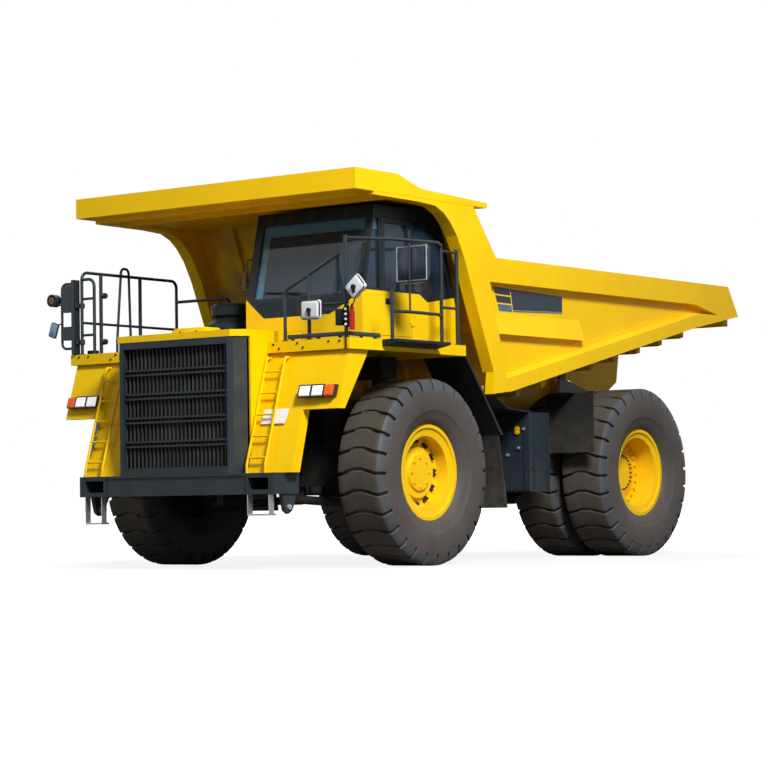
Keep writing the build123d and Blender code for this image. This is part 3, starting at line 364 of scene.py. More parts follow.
def deck_paint(tree, place, axes, colour):
    """A dark bolt-on walkway, and a dark tread coat on what is walked on."""
    walkway = greater(tree, size_of(tree, axes.outputs["X"]), WALKWAY_X)
    walked_on = greater(tree, axes.outputs["Z"], TREAD_Z)
    grit = ramp(tree, noise(tree, place, 140, 2), 0.4, 0.6)
    coat = mix(tree, grit, (0.05, 0.055, 0.06), (0.10, 0.105, 0.11))
    return mix(tree, walked_on, mix(tree, walkway, colour, fresh_dark), coat)


SLAT_Y = -4.4955


def slat_paint(tree, place, axes, colour):
    """Grille slats, set behind the bars, in a dusty grey."""
    deep = greater(tree, axes.outputs["Y"], SLAT_Y)
    dusty = ramp(tree, noise(tree, place, 2.5, 4), 0.35, 0.7)
    return mix(tree, deep, colour, mix(tree, dusty, (0.020, 0.022, 0.021),
                                       (0.060, 0.062, 0.055)))


def painted_shade_inside(limit):
    """A paint with painted shade: dark nearer the middle of the truck than a limit, where the
    wheel's inside lies in shadow.
    """
    def recolour(tree, place, axes, colour):
        outside = greater(tree, size_of(tree, axes.outputs["X"]), limit)
        return mix(tree, outside, (0.020, 0.017, 0.014), colour)
    return recolour


CORE_GAP, CORE_REACH = 0.045, 0.79


def core_paint(tree, place, axes, colour):
    """Fine upright fins on the radiator's cores."""
    fins = node(tree, "ShaderNodeTexWave", bands_direction="X")
    fins.inputs["Scale"].default_value = 18
    tree.links.new(place, fins.inputs["Vector"])
    dusty = ramp(tree, noise(tree, place, 3, 4), 0.35, 0.7)
    plain = mix(tree, dusty, (0.055, 0.056, 0.048), (0.10, 0.10, 0.085))
    core = mix(tree, fins.outputs["Fac"], (0.012, 0.012, 0.010), plain)
    across = size_of(tree, axes.outputs["X"])
    inside = multiply(tree, greater(tree, across, CORE_GAP),
                      greater(tree, slope(tree, across, -1, 0), -CORE_REACH))
    return mix(tree, inside, colour, core)


cab_finish = finish("cab_two_tone", fresh_yellow, faded_yellow, gloss=0.33, dust=0.03, bump=0.04,
                    streaks=0.05, shine=0.12, recolour=cab_paint)
deck_finish = finish("deck_two_tone", fresh_yellow, faded_yellow, gloss=0.4, dust=0.05,
                     bump=0.05, streaks=0.05, shine=0.1, recolour=deck_paint)
# The rims turn dark inside a limit across: painted shade where the wheel's inner side lies in
# shadow.
rim_paints = {stem: finish(f"{stem}_paint", fresh_yellow, faded_yellow, gloss=0.4, dust=0.10,
                           dust_top=2.4, bump=0.06, streaks=0.12, shine=0.1,
                           recolour=painted_shade_inside(limit))
              for stem, limit in (("front_rim", 1.735), ("rear_rim", 1.825))}
grille_finish = finish("grille_paint", fresh_dark, faded_dark, gloss=0.42, dust=0.10,
                       dust_top=1.5, bump=0.08, streaks=0.1, shine=0.22, recolour=slat_paint)
radiator_finish = finish("radiator_cores", (0.012, 0.014, 0.016), (0.02, 0.022, 0.024),
                         gloss=0.6, dust=0.1, shine=0.1, recolour=core_paint)
print("paints:", len(bpy.data.materials))


# %% [markdown]
# ## Glass and lamps
# Cab glass is dark and tinted, and one glossy shader that lets a little light through
# renders quickly and keeps the cab's inside visible. A paler blue band along the top and
# one side of the windscreen is a painted reflection of the sky. A lamp's lens is ribbed.

# %% Glass
glass = bpy.data.materials.new("tinted_glass_painted_sky")
glass.use_nodes = True
tree = glass.node_tree
shader = tree.nodes["Principled BSDF"]
shader.inputs["Roughness"].default_value = 0.04
shader.inputs["Specular IOR Level"].default_value = 0.3
shader.inputs["Alpha"].default_value = 0.82
place = node(tree, "ShaderNodeTexCoord").outputs["Object"]
haze = ramp(tree, noise(tree, place, 2.2, 3), 0.3, 0.75)
axes = node(tree, "ShaderNodeSeparateXYZ")
tree.links.new(place, axes.inputs[0])
# The windscreen's top and side bands are a painted reflection of the sky: pale blue mixed into the
# glass colour.
SCREEN_Y, BAND_Z, BAND_X = 3.0, 3.80, 0.285
top_sky_reflection = greater(tree, axes.outputs["Z"], BAND_Z)
side_sky_reflection = greater(tree, slope(tree, axes.outputs["X"], -1, 0), -BAND_X)
painted_sky_reflection = multiply(tree, extreme(tree, "MAXIMUM", top_sky_reflection, side_sky_reflection),
                greater(tree, slope(tree, axes.outputs["Y"], -1, 0), SCREEN_Y))
tint = mix(tree, haze, (0.012, 0.026, 0.046), (0.024, 0.046, 0.074))
tree.links.new(mix(tree, multiply(tree, painted_sky_reflection, 0.8), tint, (0.075, 0.23, 0.36)),
               shader.inputs["Base Color"])


def lens_finish(name, pale, deep, glow):
    """A ribbed lamp lens: bands of pale and deep colour with a faint glow."""
    made = bpy.data.materials.new(name)
    made.use_nodes = True
    tree = made.node_tree
    shader = tree.nodes["Principled BSDF"]
    place = node(tree, "ShaderNodeTexCoord").outputs["Object"]
    bands = node(tree, "ShaderNodeTexWave")
    bands.inputs["Scale"].default_value = 22
    tree.links.new(place, bands.inputs["Vector"])
    colour = mix(tree, bands.outputs["Fac"], pale, deep)
    tree.links.new(colour, shader.inputs["Base Color"])
    shader.inputs["Roughness"].default_value = 0.12
    shader.inputs["Specular IOR Level"].default_value = 0.2
    tree.links.new(colour, shader.inputs["Emission Color"])
    shader.inputs["Emission Strength"].default_value = glow
    return made


clear_lens = lens_finish("clear_lens", (0.92, 0.92, 0.93), (0.75, 0.77, 0.80), 0.35)
amber_lens = lens_finish("amber_lens", (0.85, 0.13, 0.002), (0.62, 0.07, 0.002), 0.15)
pale_case = finish("pale_case", (0.72, 0.74, 0.76), (0.62, 0.64, 0.66), gloss=0.4, dust=0.1,
                   bump=0.03)

paints = {
    "grille": grille_finish, "radiator": radiator_finish, "deck": deck_finish,
    "front_bumper": dark, "air_intake": dark, "lamps": dark, "handrails": rail_paint,
    "mirrors": rail_paint, "fuel_tank": tank_paint, "hydraulic_tank": tank_paint,
    "rear_flaps": rubber, "mudguards": rubber, "entry_steps": zinc, "cab_seat": cloth,
    "cab": cab_finish, "cab_door": cab_finish, "bed_floor": inside_bed,
    "bed_front": inside_bed}
paints.update(dict.fromkeys((
    "frame", "driveline", "rear_suspension", "front_arms", "knuckle_left", "knuckle_right",
    "engine", "rear_axle", "hoist_barrel_left", "hoist_barrel_right"), frame_iron))
families = {"tyre": wall_rubber, "glass": glass, "hoist_rod": chrome, **rim_paints}
for name, piece in nodes.items():
    paint = paints.get(name, yellow)
    for family, family_paint in families.items():
        if family in name:
            paint = family_paint
    for slot in piece.material_slots:
        slot.material = paint
print("painted nodes:", len(nodes))


# %% [markdown]
# ## Tools for modelling by hand
# New pieces start from a primitive and are shaped in edit mode, as one does in the
# viewport. These helpers add a primitive alone, pick faces or edges by their place,
# and close a piece with its finish and the body that it rides on.

# %% Modelling helpers
def deselect():
    """Leaves edit mode, with nothing selected."""
    if bpy.context.object and bpy.context.object.mode == "EDIT":
        bpy.ops.object.mode_set(mode="OBJECT")
    bpy.ops.object.select_all(action="DESELECT")


def start(kind, name, **values):
    """Adds one primitive with nothing else selected, and names it."""
    deselect()
    getattr(bpy.ops.mesh, f"primitive_{kind}_add")(**values)
    piece = bpy.context.object
    piece.name = name
    bpy.ops.object.transform_apply(location=True, rotation=True, scale=True)
    return piece


def pick(piece, test, kind="FACE"):
    """Selects, in edit mode, the faces, edges or corners whose middle passes a test."""
    bpy.ops.object.mode_set(mode="EDIT")
    bpy.ops.mesh.select_mode(type=kind)
    bpy.ops.mesh.select_all(action="DESELECT")
    shape = bmesh.from_edit_mesh(piece.data)
    found = {"FACE": shape.faces, "EDGE": shape.edges, "VERT": shape.verts}[kind]
    count = 0
    for element in found:
        if kind == "FACE":
            middle = element.calc_center_median()
        elif kind == "EDGE":
            middle = (element.verts[0].co + element.verts[1].co) / 2
        else:
            middle = element.co
        if test(middle, element):
            element.select_set(True)
            count += 1
    bmesh.update_edit_mesh(piece.data)
    return count


def close_up(piece):
    """Turns all faces outwards and goes back to object mode."""
    pick(piece, lambda middle, face: True)
    bpy.ops.mesh.normals_make_consistent(inside=False)
    bpy.ops.object.mode_set(mode="OBJECT")


def modifier(piece, kind, **values):
    """Adds a modifier, sets it, and applies it."""
    bpy.ops.object.mode_set(mode="OBJECT")
    bpy.context.view_layer.objects.active = piece
    made = piece.modifiers.new(kind.lower(), kind)
    for name, value in values.items():
        setattr(made, name, value)
    bpy.ops.object.modifier_apply(modifier=made.name)


def join(name, pieces):
    """Joins several pieces into the first, and names it."""
    deselect()
    for piece in pieces:
        piece.select_set(True)
    bpy.context.view_layer.objects.active = pieces[0]
    if len(pieces) > 1:
        bpy.ops.object.join()
    pieces[0].name = name
    return pieces[0]


def copy_to(piece, name, shift, turn=0.0):
    """A copy with its own mesh, turned about the X axis through the origin, then moved."""
    twin = piece.copy()
    twin.data = piece.data.copy()
    twin.name = name
    bpy.context.scene.collection.objects.link(twin)
    twin.data.transform(Matrix.Translation(shift) @ Matrix.Rotation(turn, 4, "X"))
    return twin


def dress(piece, *finishes, body="chassis", smooth=35):
    """Gives a piece its finish, its shading and the body that it rides on."""
    deselect()
    piece.select_set(True)
    bpy.context.view_layer.objects.active = piece
    if finishes:
        piece.data.materials.clear()
        for paint in finishes:
            piece.data.materials.append(paint)
    bpy.ops.object.shade_smooth_by_angle(angle=math.radians(smooth))
    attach(piece, body)
    return piece


def remove(piece):
    """Deletes a pattern piece once its copies are made."""
    bpy.data.objects.remove(piece, do_unlink=True)


print("modelling helpers ready")


# %% [markdown]
# ## Tyres
# A haul truck's tyre is a wide band of heavy lugs over a smooth, bulging wall. It starts
# as an open cylinder at the lugs' height. Each edge ring is extruded and scaled inwards
# to follow the wall down to the bead, and the two beads are bridged. Then one narrow
# sector in every pitch is pushed in along its normals, which leaves the lugs standing,
# and the tread's rings are turned a little, so that the grooves run in a curve.

# %% Model the tyre's shell at the origin
LUGS, SECTORS, WHEEL_Z = 28, 6, 1.06
tread_half, crown = 0.265, 1.0585
wall = [(0.290, 1.030), (0.307, 0.985), (0.318, 0.935), (0.3245, 0.885), (0.3245, 0.800),
        (0.320, 0.745), (0.311, 0.700), (0.305, 0.694), (0.290, 0.640), (0.264, 0.590),
        (0.240, 0.562), (0.2165, 0.5495), (0.198, 0.522)]
tyre = start("cylinder", "tyre", vertices=LUGS * SECTORS, radius=crown, depth=2 * tread_half,
             end_fill_type="NOTHING", rotation=(0, math.pi / 2, 0))
for cut in (-0.19, -0.12, -0.05, 0.05, 0.12, 0.19):
    pick(tyre, lambda middle, face: True)
    bpy.ops.mesh.bisect(plane_co=(cut, 0, 0), plane_no=(1, 0, 0))
for side in (-1, 1):
    last_x, last_radius = tread_half, crown
    pick(tyre, lambda middle, edge: edge.is_boundary and middle.x * side > 0, "EDGE")
    for place_x, radius in wall:
        bpy.ops.mesh.extrude_edges_move(
            TRANSFORM_OT_translate={"value": (side * (place_x - last_x), 0, 0)})
        shrink = radius / last_radius
        bpy.ops.transform.resize(value=(1, shrink, shrink), center_override=(0, 0, 0))
        last_x, last_radius = place_x, radius
pick(tyre, lambda middle, edge: edge.is_boundary, "EDGE")
bpy.ops.mesh.bridge_edge_loops()
bpy.ops.mesh.select_all(action="SELECT")
bpy.ops.mesh.normals_make_consistent(inside=False)
print("tyre shell faces:", len(bmesh.from_edit_mesh(tyre.data).faces))


# %% Cut the grooves, then turn the tread's rings
def in_groove(middle, low, high, narrow, wide):
    """True on one sector of each pitch, between two radii and two distances across."""
    angle = math.atan2(middle.z, middle.y) % (2 * math.pi / LUGS)
    return (angle < 2 * math.pi / LUGS / SECTORS and low < middle.yz.length < high
            and narrow < abs(middle.x) < wide)


tread_count = pick(tyre, lambda middle, face: in_groove(middle, 0.93, 1.1, 0.12, 0.4))
bpy.ops.mesh.extrude_region_shrink_fatten(
    TRANSFORM_OT_shrink_fatten={"value": -0.040})
centre_count = pick(tyre, lambda middle, face: in_groove(middle, 1.04, 1.1, 0.0, 0.12))
bpy.ops.mesh.extrude_region_shrink_fatten(
    TRANSFORM_OT_shrink_fatten={"value": -0.022})
for near, far, angle in ((0.22, 0.40, 0.000), (0.155, 0.22, 0.014), (0.085, 0.155, 0.034),
                         (0.0, 0.085, 0.050)):
    pick(tyre, lambda middle, corner: near < abs(middle.x) < far and middle.yz.length > 0.97,
         "VERT")
    bpy.ops.transform.rotate(value=angle, orient_axis="X", center_override=(0, 0, 0))
print("groove faces:", tread_count, centre_count)


# %% Round the lugs and paint tread, shoulder and wall
modifier(tyre, "BEVEL", width=0.006, segments=1, limit_method="ANGLE",
         angle_limit=math.radians(38))
# The shoulder's finish carries a painted bluish sheen.
for paint in (wall_rubber, tread_rubber, shoulder_sheen_rubber):
    tyre.data.materials.append(paint)
for slot, low, high in ((1, 1.0, 1.2), (2, 0.93, 1.045)):
    pick(tyre, lambda middle, face: (low < middle.yz.length < high
                                     and (slot == 1 or abs(middle.x) > 0.266)))
    tyre.active_material_index = slot
    bpy.ops.object.material_slot_assign()
bpy.ops.object.mode_set(mode="OBJECT")
TYRE_WIDTH = 0.65
for stem, body in (("front_tyre", "front_wheel"), ("rear_tyres", "rear_wheels")):
    low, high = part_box(f"{stem}_left")
    centres = {round(low.x + TYRE_WIDTH / 2, 4), round(high.x - TYRE_WIDTH / 2, 4)}
    for side, word in ((1, "left"), (-1, "right")):
        copies = [copy_to(tyre, f"{stem}_{word}_lugged",
                          (side * x, (low.y + high.y) / 2, WHEEL_Z), 0.03 * number)
                  for number, x in enumerate(sorted(centres))]
        whole = join(f"{stem}_{word}_lugged", copies)
        dress(whole, body=f"{body}_{word}", smooth=32)
        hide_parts(f"{stem}_{word}")
        print(whole.name, "at", sorted(centres), "faces", len(whole.data.polygons))
remove(tyre)


# %% [markdown]
# ## Bolts
# A wheel's nuts stand in pairs around the drum in front, and in a close ring on the
# drive's face behind. One six-sided head with a washer is made by an inset and two
# extrusions, and copied round the ring.

# %% Wheel nuts
def bolt_head(name, radius, height):
    """A six-sided head on a round washer, standing along +X at the origin."""
    head = start("cylinder", name, vertices=12, radius=radius * 1.35, depth=height * 0.3,
                 rotation=(0, math.pi / 2, 0))
    pick(head, lambda middle, face: face.normal.x > 0.9)
    bpy.ops.mesh.inset(thickness=radius * 0.45)
    bpy.ops.mesh.extrude_region_move(TRANSFORM_OT_translate={"value": (height * 0.7, 0, 0)})
    bpy.ops.mesh.inset(thickness=radius * 0.2)
    bpy.ops.transform.translate(value=(height * 0.08, 0, 0))
    bpy.ops.object.mode_set(mode="OBJECT")
    return head


def ring_of(head, name, centre, face_x, radius, angles, side=1):
    """Copies of a head round a circle about a wheel's axle."""
    copies = []
    for angle in angles:
        twin = copy_to(head, name, (0, 0, 0))
        if side < 0:
            twin.data.transform(Matrix.Rotation(math.pi, 4, "Z"))
        twin.data.transform(Matrix.Translation(
            (side * face_x, centre[0] + radius * math.cos(angle),
             centre[1] + radius * math.sin(angle))))
        copies.append(twin)
    return join(name, copies)


front_x, rear_x = 1.757, 1.949
nut = bolt_head("nut", 0.019, 0.034)
small_nut = bolt_head("small_nut", 0.011, 0.02)
pairs = [math.radians(30 * step + swing) for step in range(12) for swing in (-3.6, 3.6)]
ring = [math.radians(15 * step) for step in range(24)]
front_y, rear_y = (sum(corner.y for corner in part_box(f"{end}_rim_left")) / 2
                   for end in ("front", "rear"))
for side, word in ((1, "left"), (-1, "right")):
    for stem, head, body, centre_y, face_x, radius, angles, paint in (
            ("front_nuts", nut, "front_wheel", front_y, front_x + 0.024, 0.356, pairs, nut_steel),
            ("cap_nuts", small_nut, "front_wheel", front_y, front_x + 0.0935, 0.165, ring[::3],
             yellow),
            ("rear_nuts", small_nut, "rear_wheels", rear_y, rear_x - 0.0515, 0.215, ring,
             nut_steel),
            ("rear_rim_nuts", nut, "rear_wheels", rear_y, rear_x - 0.089, 0.385, ring, yellow)):
        nuts = ring_of(head, f"{stem}_{word}", (centre_y, WHEEL_Z), face_x, radius, angles, side)
        dress(nuts, paint, body=f"{body}_{word}")
for pattern in (nut, small_nut):
    remove(pattern)
print("nuts per front wheel:", len(pairs), "per rear wheel:", 2 * len(ring))


# %% [markdown]
# ## Helpers for small pieces
# Most of what is left is made of three things: rounded blocks, thin plates with a
# drawn outline, and round bars. Each gets a helper that starts from a primitive: a
# cube, a filled circle whose corners are moved, and a path curve with a thickness.

# %% Blocks, plates and bars
def slab(name, low, high, round_off=0.005):
    """A block between two corners, its edges rounded."""
    middle = [(a + b) / 2 for a, b in zip(low, high)]
    piece = start("cube", name, size=1, location=middle,
                  scale=[b - a for a, b in zip(low, high)])
    modifier(piece, "BEVEL", width=round_off, segments=2)
    return piece


def plate(name, corners, thickness):
    """A plate about an outline of corners, with its long edges eased."""
    piece = start("circle", name, vertices=len(corners), fill_type="NGON")
    for corner, place in zip(piece.data.vertices, corners):
        corner.co = place
    piece.data.update()
    modifier(piece, "SOLIDIFY", thickness=thickness, offset=0)
    modifier(piece, "BEVEL", width=thickness / 5, segments=1)
    close_up(piece)
    return piece


def tube(name, points, radius, curved=False):
    """A round bar along points: a path with a thickness, made a mesh."""
    deselect()
    bpy.ops.curve.primitive_nurbs_path_add()
    piece = bpy.context.object
    piece.name = name
    curve = piece.data
    curve.splines.clear()
    line = curve.splines.new("NURBS" if curved else "POLY")
    line.points.add(len(points) - 1)
    for point, place in zip(line.points, points):
        point.co = (*place, 1)
    if curved:
        line.order_u = 3
        line.use_endpoint_u = True
        line.resolution_u = 6
    curve.bevel_depth = radius
    curve.bevel_resolution = 2
    curve.use_fill_caps = True
    bpy.ops.object.convert(target="MESH")
    return bpy.context.object


def knob(name, place, axis, radius, height, sides=16):
    """A short round stud with a stepped face, standing from a place along an axis."""
    piece = start("cylinder", name, vertices=sides, radius=radius, depth=height)
    pick(piece, lambda middle, face: middle.z > height * 0.4)
    bpy.ops.mesh.inset(thickness=radius * 0.25)
    bpy.ops.mesh.extrude_region_move(TRANSFORM_OT_translate={"value": (0, 0, height * 0.25)})
    bpy.ops.mesh.inset(thickness=radius * 0.15)
    bpy.ops.object.mode_set(mode="OBJECT")
    turn = Vector((0, 0, 1)).rotation_difference(Vector(axis)).to_matrix().to_4x4()
    reach = Vector(axis).normalized() * height / 2
    piece.data.transform(Matrix.Translation(Vector(place) + reach) @ turn)
    return piece


pale_metal = finish("pale_metal", (0.42, 0.44, 0.46), (0.55, 0.57, 0.58), gloss=0.4, metal=0.6,
                    dust=0.05, bump=0.05)
reflector = finish("reflector", (0.86, 0.86, 0.88), (0.78, 0.78, 0.80), gloss=0.3, dust=0.03,
                   bump=0.2, grain=120)
stripe_dark = finish("stripe_dark", (0.012, 0.022, 0.036), (0.018, 0.030, 0.046), gloss=0.35,
                     dust=0.03, bump=0.02)
stripe_blue = finish("stripe_blue", (0.06, 0.13, 0.20), (0.08, 0.15, 0.22), gloss=0.35,
                     dust=0.03, bump=0.02)
safety_red = finish("safety_red", (0.40, 0.008, 0.004), (0.30, 0.012, 0.006), gloss=0.3,
                    dust=0.03, bump=0.02)
amber_glass = finish("spot_glass", (0.16, 0.07, 0.012), (0.05, 0.03, 0.012), gloss=0.15,
                     dust=0.05, bump=0.02, streaks=0.0)
# The small mirror's glass is a painted reflection: a flat pale blue for the sky that it shows.
small_mirror_sky_colour = finish("small_mirror_painted_reflection", (0.16, 0.26, 0.38), (0.26, 0.38, 0.50), gloss=0.15,
                    dust=0.03, bump=0.01, streaks=0.0)
# The door mirror's glass is a painted reflection: a dark blue-black for what it shows.
door_mirror_painted_dark = finish("door_mirror_painted_reflection", (0.012, 0.018, 0.035), (0.02, 0.03, 0.05), gloss=0.2,
                    dust=0.03, bump=0.01, streaks=0.0)
black_rubber = finish("black_rubber", (0.008, 0.008, 0.009), (0.014, 0.014, 0.014), gloss=0.6,
                      dust=0.05, bump=0.2, shine=0.2)
print("helpers and small finishes ready")


# %% [markdown]
# ## Stripes on the bed
# The bed's wall carries three painted bars and a dark panel. They are thin film on the
# steel, so each is a plate 3 mm thick with a slanted front edge, set on the wall. The
# panel stays blank. The same film is on both sides.

# %% Film on the bed's walls
WALL_X, FILM = 1.985, 0.003
LEAD = ((-1.155, 3.258), (-1.038, 2.972))
TRAIL = ((-0.815, 3.246), (-0.757, 2.972))


def between(line, share):
    """A point a share of the way down a line of two (y, z) points."""
    (y_a, z_a), (y_b, z_b) = line
    return y_a + (y_b - y_a) * share, z_a + (z_b - z_a) * share


for side, word in ((1, "left"), (-1, "right")):
    x = side * (WALL_X + FILM / 2)
    bars = []
    for high, low in ((0.0, 0.29), (0.355, 0.645), (0.71, 1.0)):
        corners = [between(LEAD, high), between(TRAIL, high), between(TRAIL, low),
                   between(LEAD, low)]
        bars.append(plate("bar", [(x, y, z) for y, z in corners], FILM))
    dress(join(f"bed_bars_{word}", bars[:2]), stripe_dark, body="bed")
    bars[2].name = f"bed_low_bar_{word}"
    dress(bars[2], stripe_blue, body="bed")
    for stem, paint, outline in (
            ("bed_panel", stripe_dark,
             [(-0.790, 3.245), (0.345, 3.217), (0.340, 3.030), (-0.745, 2.995)]),
            ("bed_panel_foot", stripe_blue,
             [(-0.742, 2.990), (0.339, 3.025), (0.338, 3.007), (-0.738, 2.972)])):
        film = plate(f"{stem}_{word}", [(x, y, z) for y, z in outline], FILM)
        dress(film, paint, body="bed")
print("film on both walls made")


# %% [markdown]
# ## Lamps and reflectors
# Each fender carries two clear lamps in one dark bezel and an amber one outside them.
# The lens is a block with a raised, stepped face, leaned as the fender is. The bezel is
# a frame: a plate whose face is inset and deleted before it gets its thickness.

# %% Lenses, bezels and reflectors
LAMP_Z, FENDER_LEAN, LAMP_FACE_Y = 1.945, 0.319, -4.2345
lean = Matrix.Translation((0, LAMP_FACE_Y, LAMP_Z)) @ Matrix.Rotation(
    -math.atan(FENDER_LEAN), 4, "X")


def lens_block(name, x, half, height):
    """A lens about an x, its face stepped outwards, on the fender's leaning face."""
    piece = start("cube", name, size=1, scale=(2 * half, 0.03, height))
    pick(piece, lambda middle, face: face.normal.y < -0.9)
    bpy.ops.mesh.inset(thickness=0.008)
    bpy.ops.mesh.extrude_region_move(TRANSFORM_OT_translate={"value": (0, -0.008, 0)})
    bpy.ops.mesh.inset(thickness=0.006)
    modifier(piece, "BEVEL", width=0.003, segments=2)
    piece.data.transform(lean @ Matrix.Translation((x, 0, 0)))
    return piece


def bezel(name, x_low, x_high, height):
    """A dark frame round one or two lenses."""
    piece = start("cube", name, size=1, scale=(x_high - x_low, 0.045, height))
    pick(piece, lambda middle, face: abs(face.normal.y) > 0.9)
    bpy.ops.mesh.inset(thickness=0.011, use_individual=True)
    bpy.ops.mesh.delete(type="FACE")
    pick(piece, lambda middle, edge: edge.is_boundary, "EDGE")
    bpy.ops.mesh.bridge_edge_loops()
    close_up(piece)
    modifier(piece, "BEVEL", width=0.003, segments=1)
    piece.data.transform(lean @ Matrix.Translation(((x_low + x_high) / 2, 0, 0)))
    return piece


for side, word in ((1, "left"), (-1, "right")):
    whites = [lens_block("lens", side * x, 0.076, 0.118) for x in (1.592, 1.768)]
    dress(join(f"headlamps_{word}", whites), clear_lens)
    dress(lens_block(f"turn_lamp_{word}", side * 1.921, 0.060, 0.124), amber_lens)
    spans = [sorted((side * a, side * b)) for a, b in ((1.504, 1.680), (1.680, 1.856))]
    frames = [bezel("frame", *span, 0.142) for span in spans]
    dress(join(f"lamp_bezels_{word}", frames), dark)


def on_fender(x, z, proud):
    """A point that stands a little proud of the fender's lower face."""
    return x, -4.240 - (1.75 - z) * FENDER_LEAN - proud, z


PROUD, SHEET = 0.008, 0.004
dress(plate("reflector_left", [on_fender(x, z, PROUD) for x, z in (
    (1.02, 1.765), (1.375, 1.765), (1.345, 1.605), (1.005, 1.605))], SHEET), reflector)
marks = [plate("mark", [on_fender(x, z, PROUD) for x, z in outline], SHEET)
         for outline in ([(-1.535, 1.70), (-1.44, 1.70), (-1.46, 1.575), (-1.535, 1.575)],
                         [(-1.53, 1.54), (-1.43, 1.54), (-1.47, 1.30), (-1.53, 1.30)])]
dress(join("grip_plates_right", marks), stripe_blue)
print("lamps and reflectors made")


# %% [markdown]
# ## On the left corner post
# A black box, a strip of four buttons and a small red extinguisher hang on the corner
# post in front of the cab, with a loop of hose. A toe board of flat bar runs along the
# deck's edge from there.

# %% Box, strip, extinguisher, hose and toe board
POST_Y, DECK = -4.030, 2.520
HANG_Y = POST_Y - 0.02
box_pieces = [slab("box", (1.905, POST_Y - 0.06, 2.655), (1.985, POST_Y + 0.03, 2.835)),
              slab("lid", (1.912, POST_Y - 0.068, 2.665), (1.978, POST_Y - 0.058, 2.825), 0.003),
              slab("strip", (2.032, POST_Y - 0.06, 2.63), (2.072, HANG_Y, 2.87), 0.004),
              slab("strip_back", (1.985, POST_Y - 0.045, 2.70), (2.035, POST_Y - 0.025, 2.80))]
dress(join("post_box", box_pieces), black_rubber)
buttons = [knob("button", (2.052, POST_Y - 0.058, 2.66 + 0.055 * step), (0, -1, 0), 0.013, 0.012)
           for step in range(4)]
dress(join("post_buttons", buttons), reflector)
bottle = knob("extinguisher", (2.105, HANG_Y, 2.60), (0, 0, 1), 0.032, 0.20, 20)
dress(bottle, safety_red)
neck = knob("bottle_neck", (2.105, HANG_Y, 2.83), (0, 0, 1), 0.012, 0.04, 12)
loop = tube("hose", [(2.105, HANG_Y, 2.86), (2.14, HANG_Y, 2.90),
                     (2.15, HANG_Y, 2.96), (2.10, HANG_Y, 2.99),
                     (2.05, HANG_Y, 2.95), (2.06, HANG_Y, 2.89)], 0.007, True)
drain = tube("drain", [(2.045, -4.082, 2.62), (2.045, -4.086, 2.53), (2.045, -4.086, 2.40)],
             0.009)
dress(join("post_hose", [neck, loop, drain]), black_rubber)
toe = [slab("toe_front", (1.215, -4.068, DECK + 0.018), (2.078, -4.056, DECK + 0.066), 0.003),
       slab("toe_side", (2.066, -4.068, DECK + 0.018), (2.078, -3.500, DECK + 0.066), 0.003)]
toe += [slab("foot", (x, -4.060, DECK), (x + 0.04, -4.040, DECK + 0.06), 0.003)
        for x in (1.26, 1.62, 1.92)]
toe += [slab("foot", (2.050, y, DECK), (2.070, y + 0.04, DECK + 0.06), 0.003)
        for y in (-3.85, -3.60)]
dress(join("toe_board", toe), rail_paint)
print("post and toe board:", 5, "pieces")


# %% [markdown]
# ## Mirrors
# The mirrors' backs are pale moulded shells with a black ball mount. Each shell is a
# cube with its face inset and pushed out a little, so it crowns. The door mirror's
# glass is a painted dark reflection, in a thin pale frame.

# %% Mirror shells
def shell(name, centre, width, height, lean_angle, depth=0.058):
    """A crowned shell over a mirror's case."""
    piece = start("cube", name, size=1, scale=(width, depth, height))
    modifier(piece, "BEVEL", width=min(width, height) * 0.14, segments=3,
             limit_method="ANGLE", angle_limit=math.radians(60))
    pick(piece, lambda middle, face: middle.y < -depth * 0.45 and face.normal.y < -0.9)
    bpy.ops.mesh.inset(thickness=0.02)
    bpy.ops.transform.translate(value=(0, -0.008, 0))
    bpy.ops.object.mode_set(mode="OBJECT")
    piece.data.transform(Matrix.Translation(centre) @ Matrix.Rotation(-lean_angle, 4, "Y"))
    return piece


shells, mounts = [], []
for centre, width, height, lean_angle in (((1.615, -4.140, 2.838), 0.270, 0.217, 0.0),
                                          ((2.233, -4.140, 3.055), 0.231, 0.196, 0.70)):
    shells.append(shell("shell", centre, width, height, lean_angle))
    mounts.append(knob("mount", (centre[0], centre[1] - 0.036, centre[2] - 0.005), (0, -1, 0),
                       0.026, 0.025))
    mounts.append(slab("mount_foot", (centre[0] - 0.018, centre[1] - 0.05, centre[2] - 0.07),
                       (centre[0] + 0.018, centre[1] - 0.035, centre[2]), 0.004))
dress(join("mirror_shells", shells), pale_case)
dress(join("mirror_mounts", mounts), black_rubber)
MIRROR_X, MIRROR_Y, MIRROR_Z = 2.260, -3.120, 3.370
corners = [(-0.204, 0.19), (0.204, 0.19), (0.204, -0.19), (-0.204, -0.19), (-0.204, 0.19)]
trims = [tube("trim", [(MIRROR_X + x, MIRROR_Y - 0.033, MIRROR_Z + z) for x, z in corners], 0.008),
         tube("stalk", [(MIRROR_X - 0.02, MIRROR_Y - 0.045, MIRROR_Z + z) for z in (-0.24, 0.23)],
              0.010)]
dress(join("door_mirror_frame", trims), pale_metal)
print("mirror shells and frame made")


# %% [markdown]
# ## Cab fittings
# Wipers park along the foot of the windscreen, a grab loop stands off the cab's right
# corner, and a slim handle runs up the left pillar. The door has a flush handle. Inside,
# a steering wheel stands before the seat: a torus with three spokes.

# %% Wipers, handles and steering wheel
def screen_y(z, off):
    """The windscreen's outer face at a height, less a distance off it."""
    return -3.3726 + (z - 3.08) * 0.2356 - off


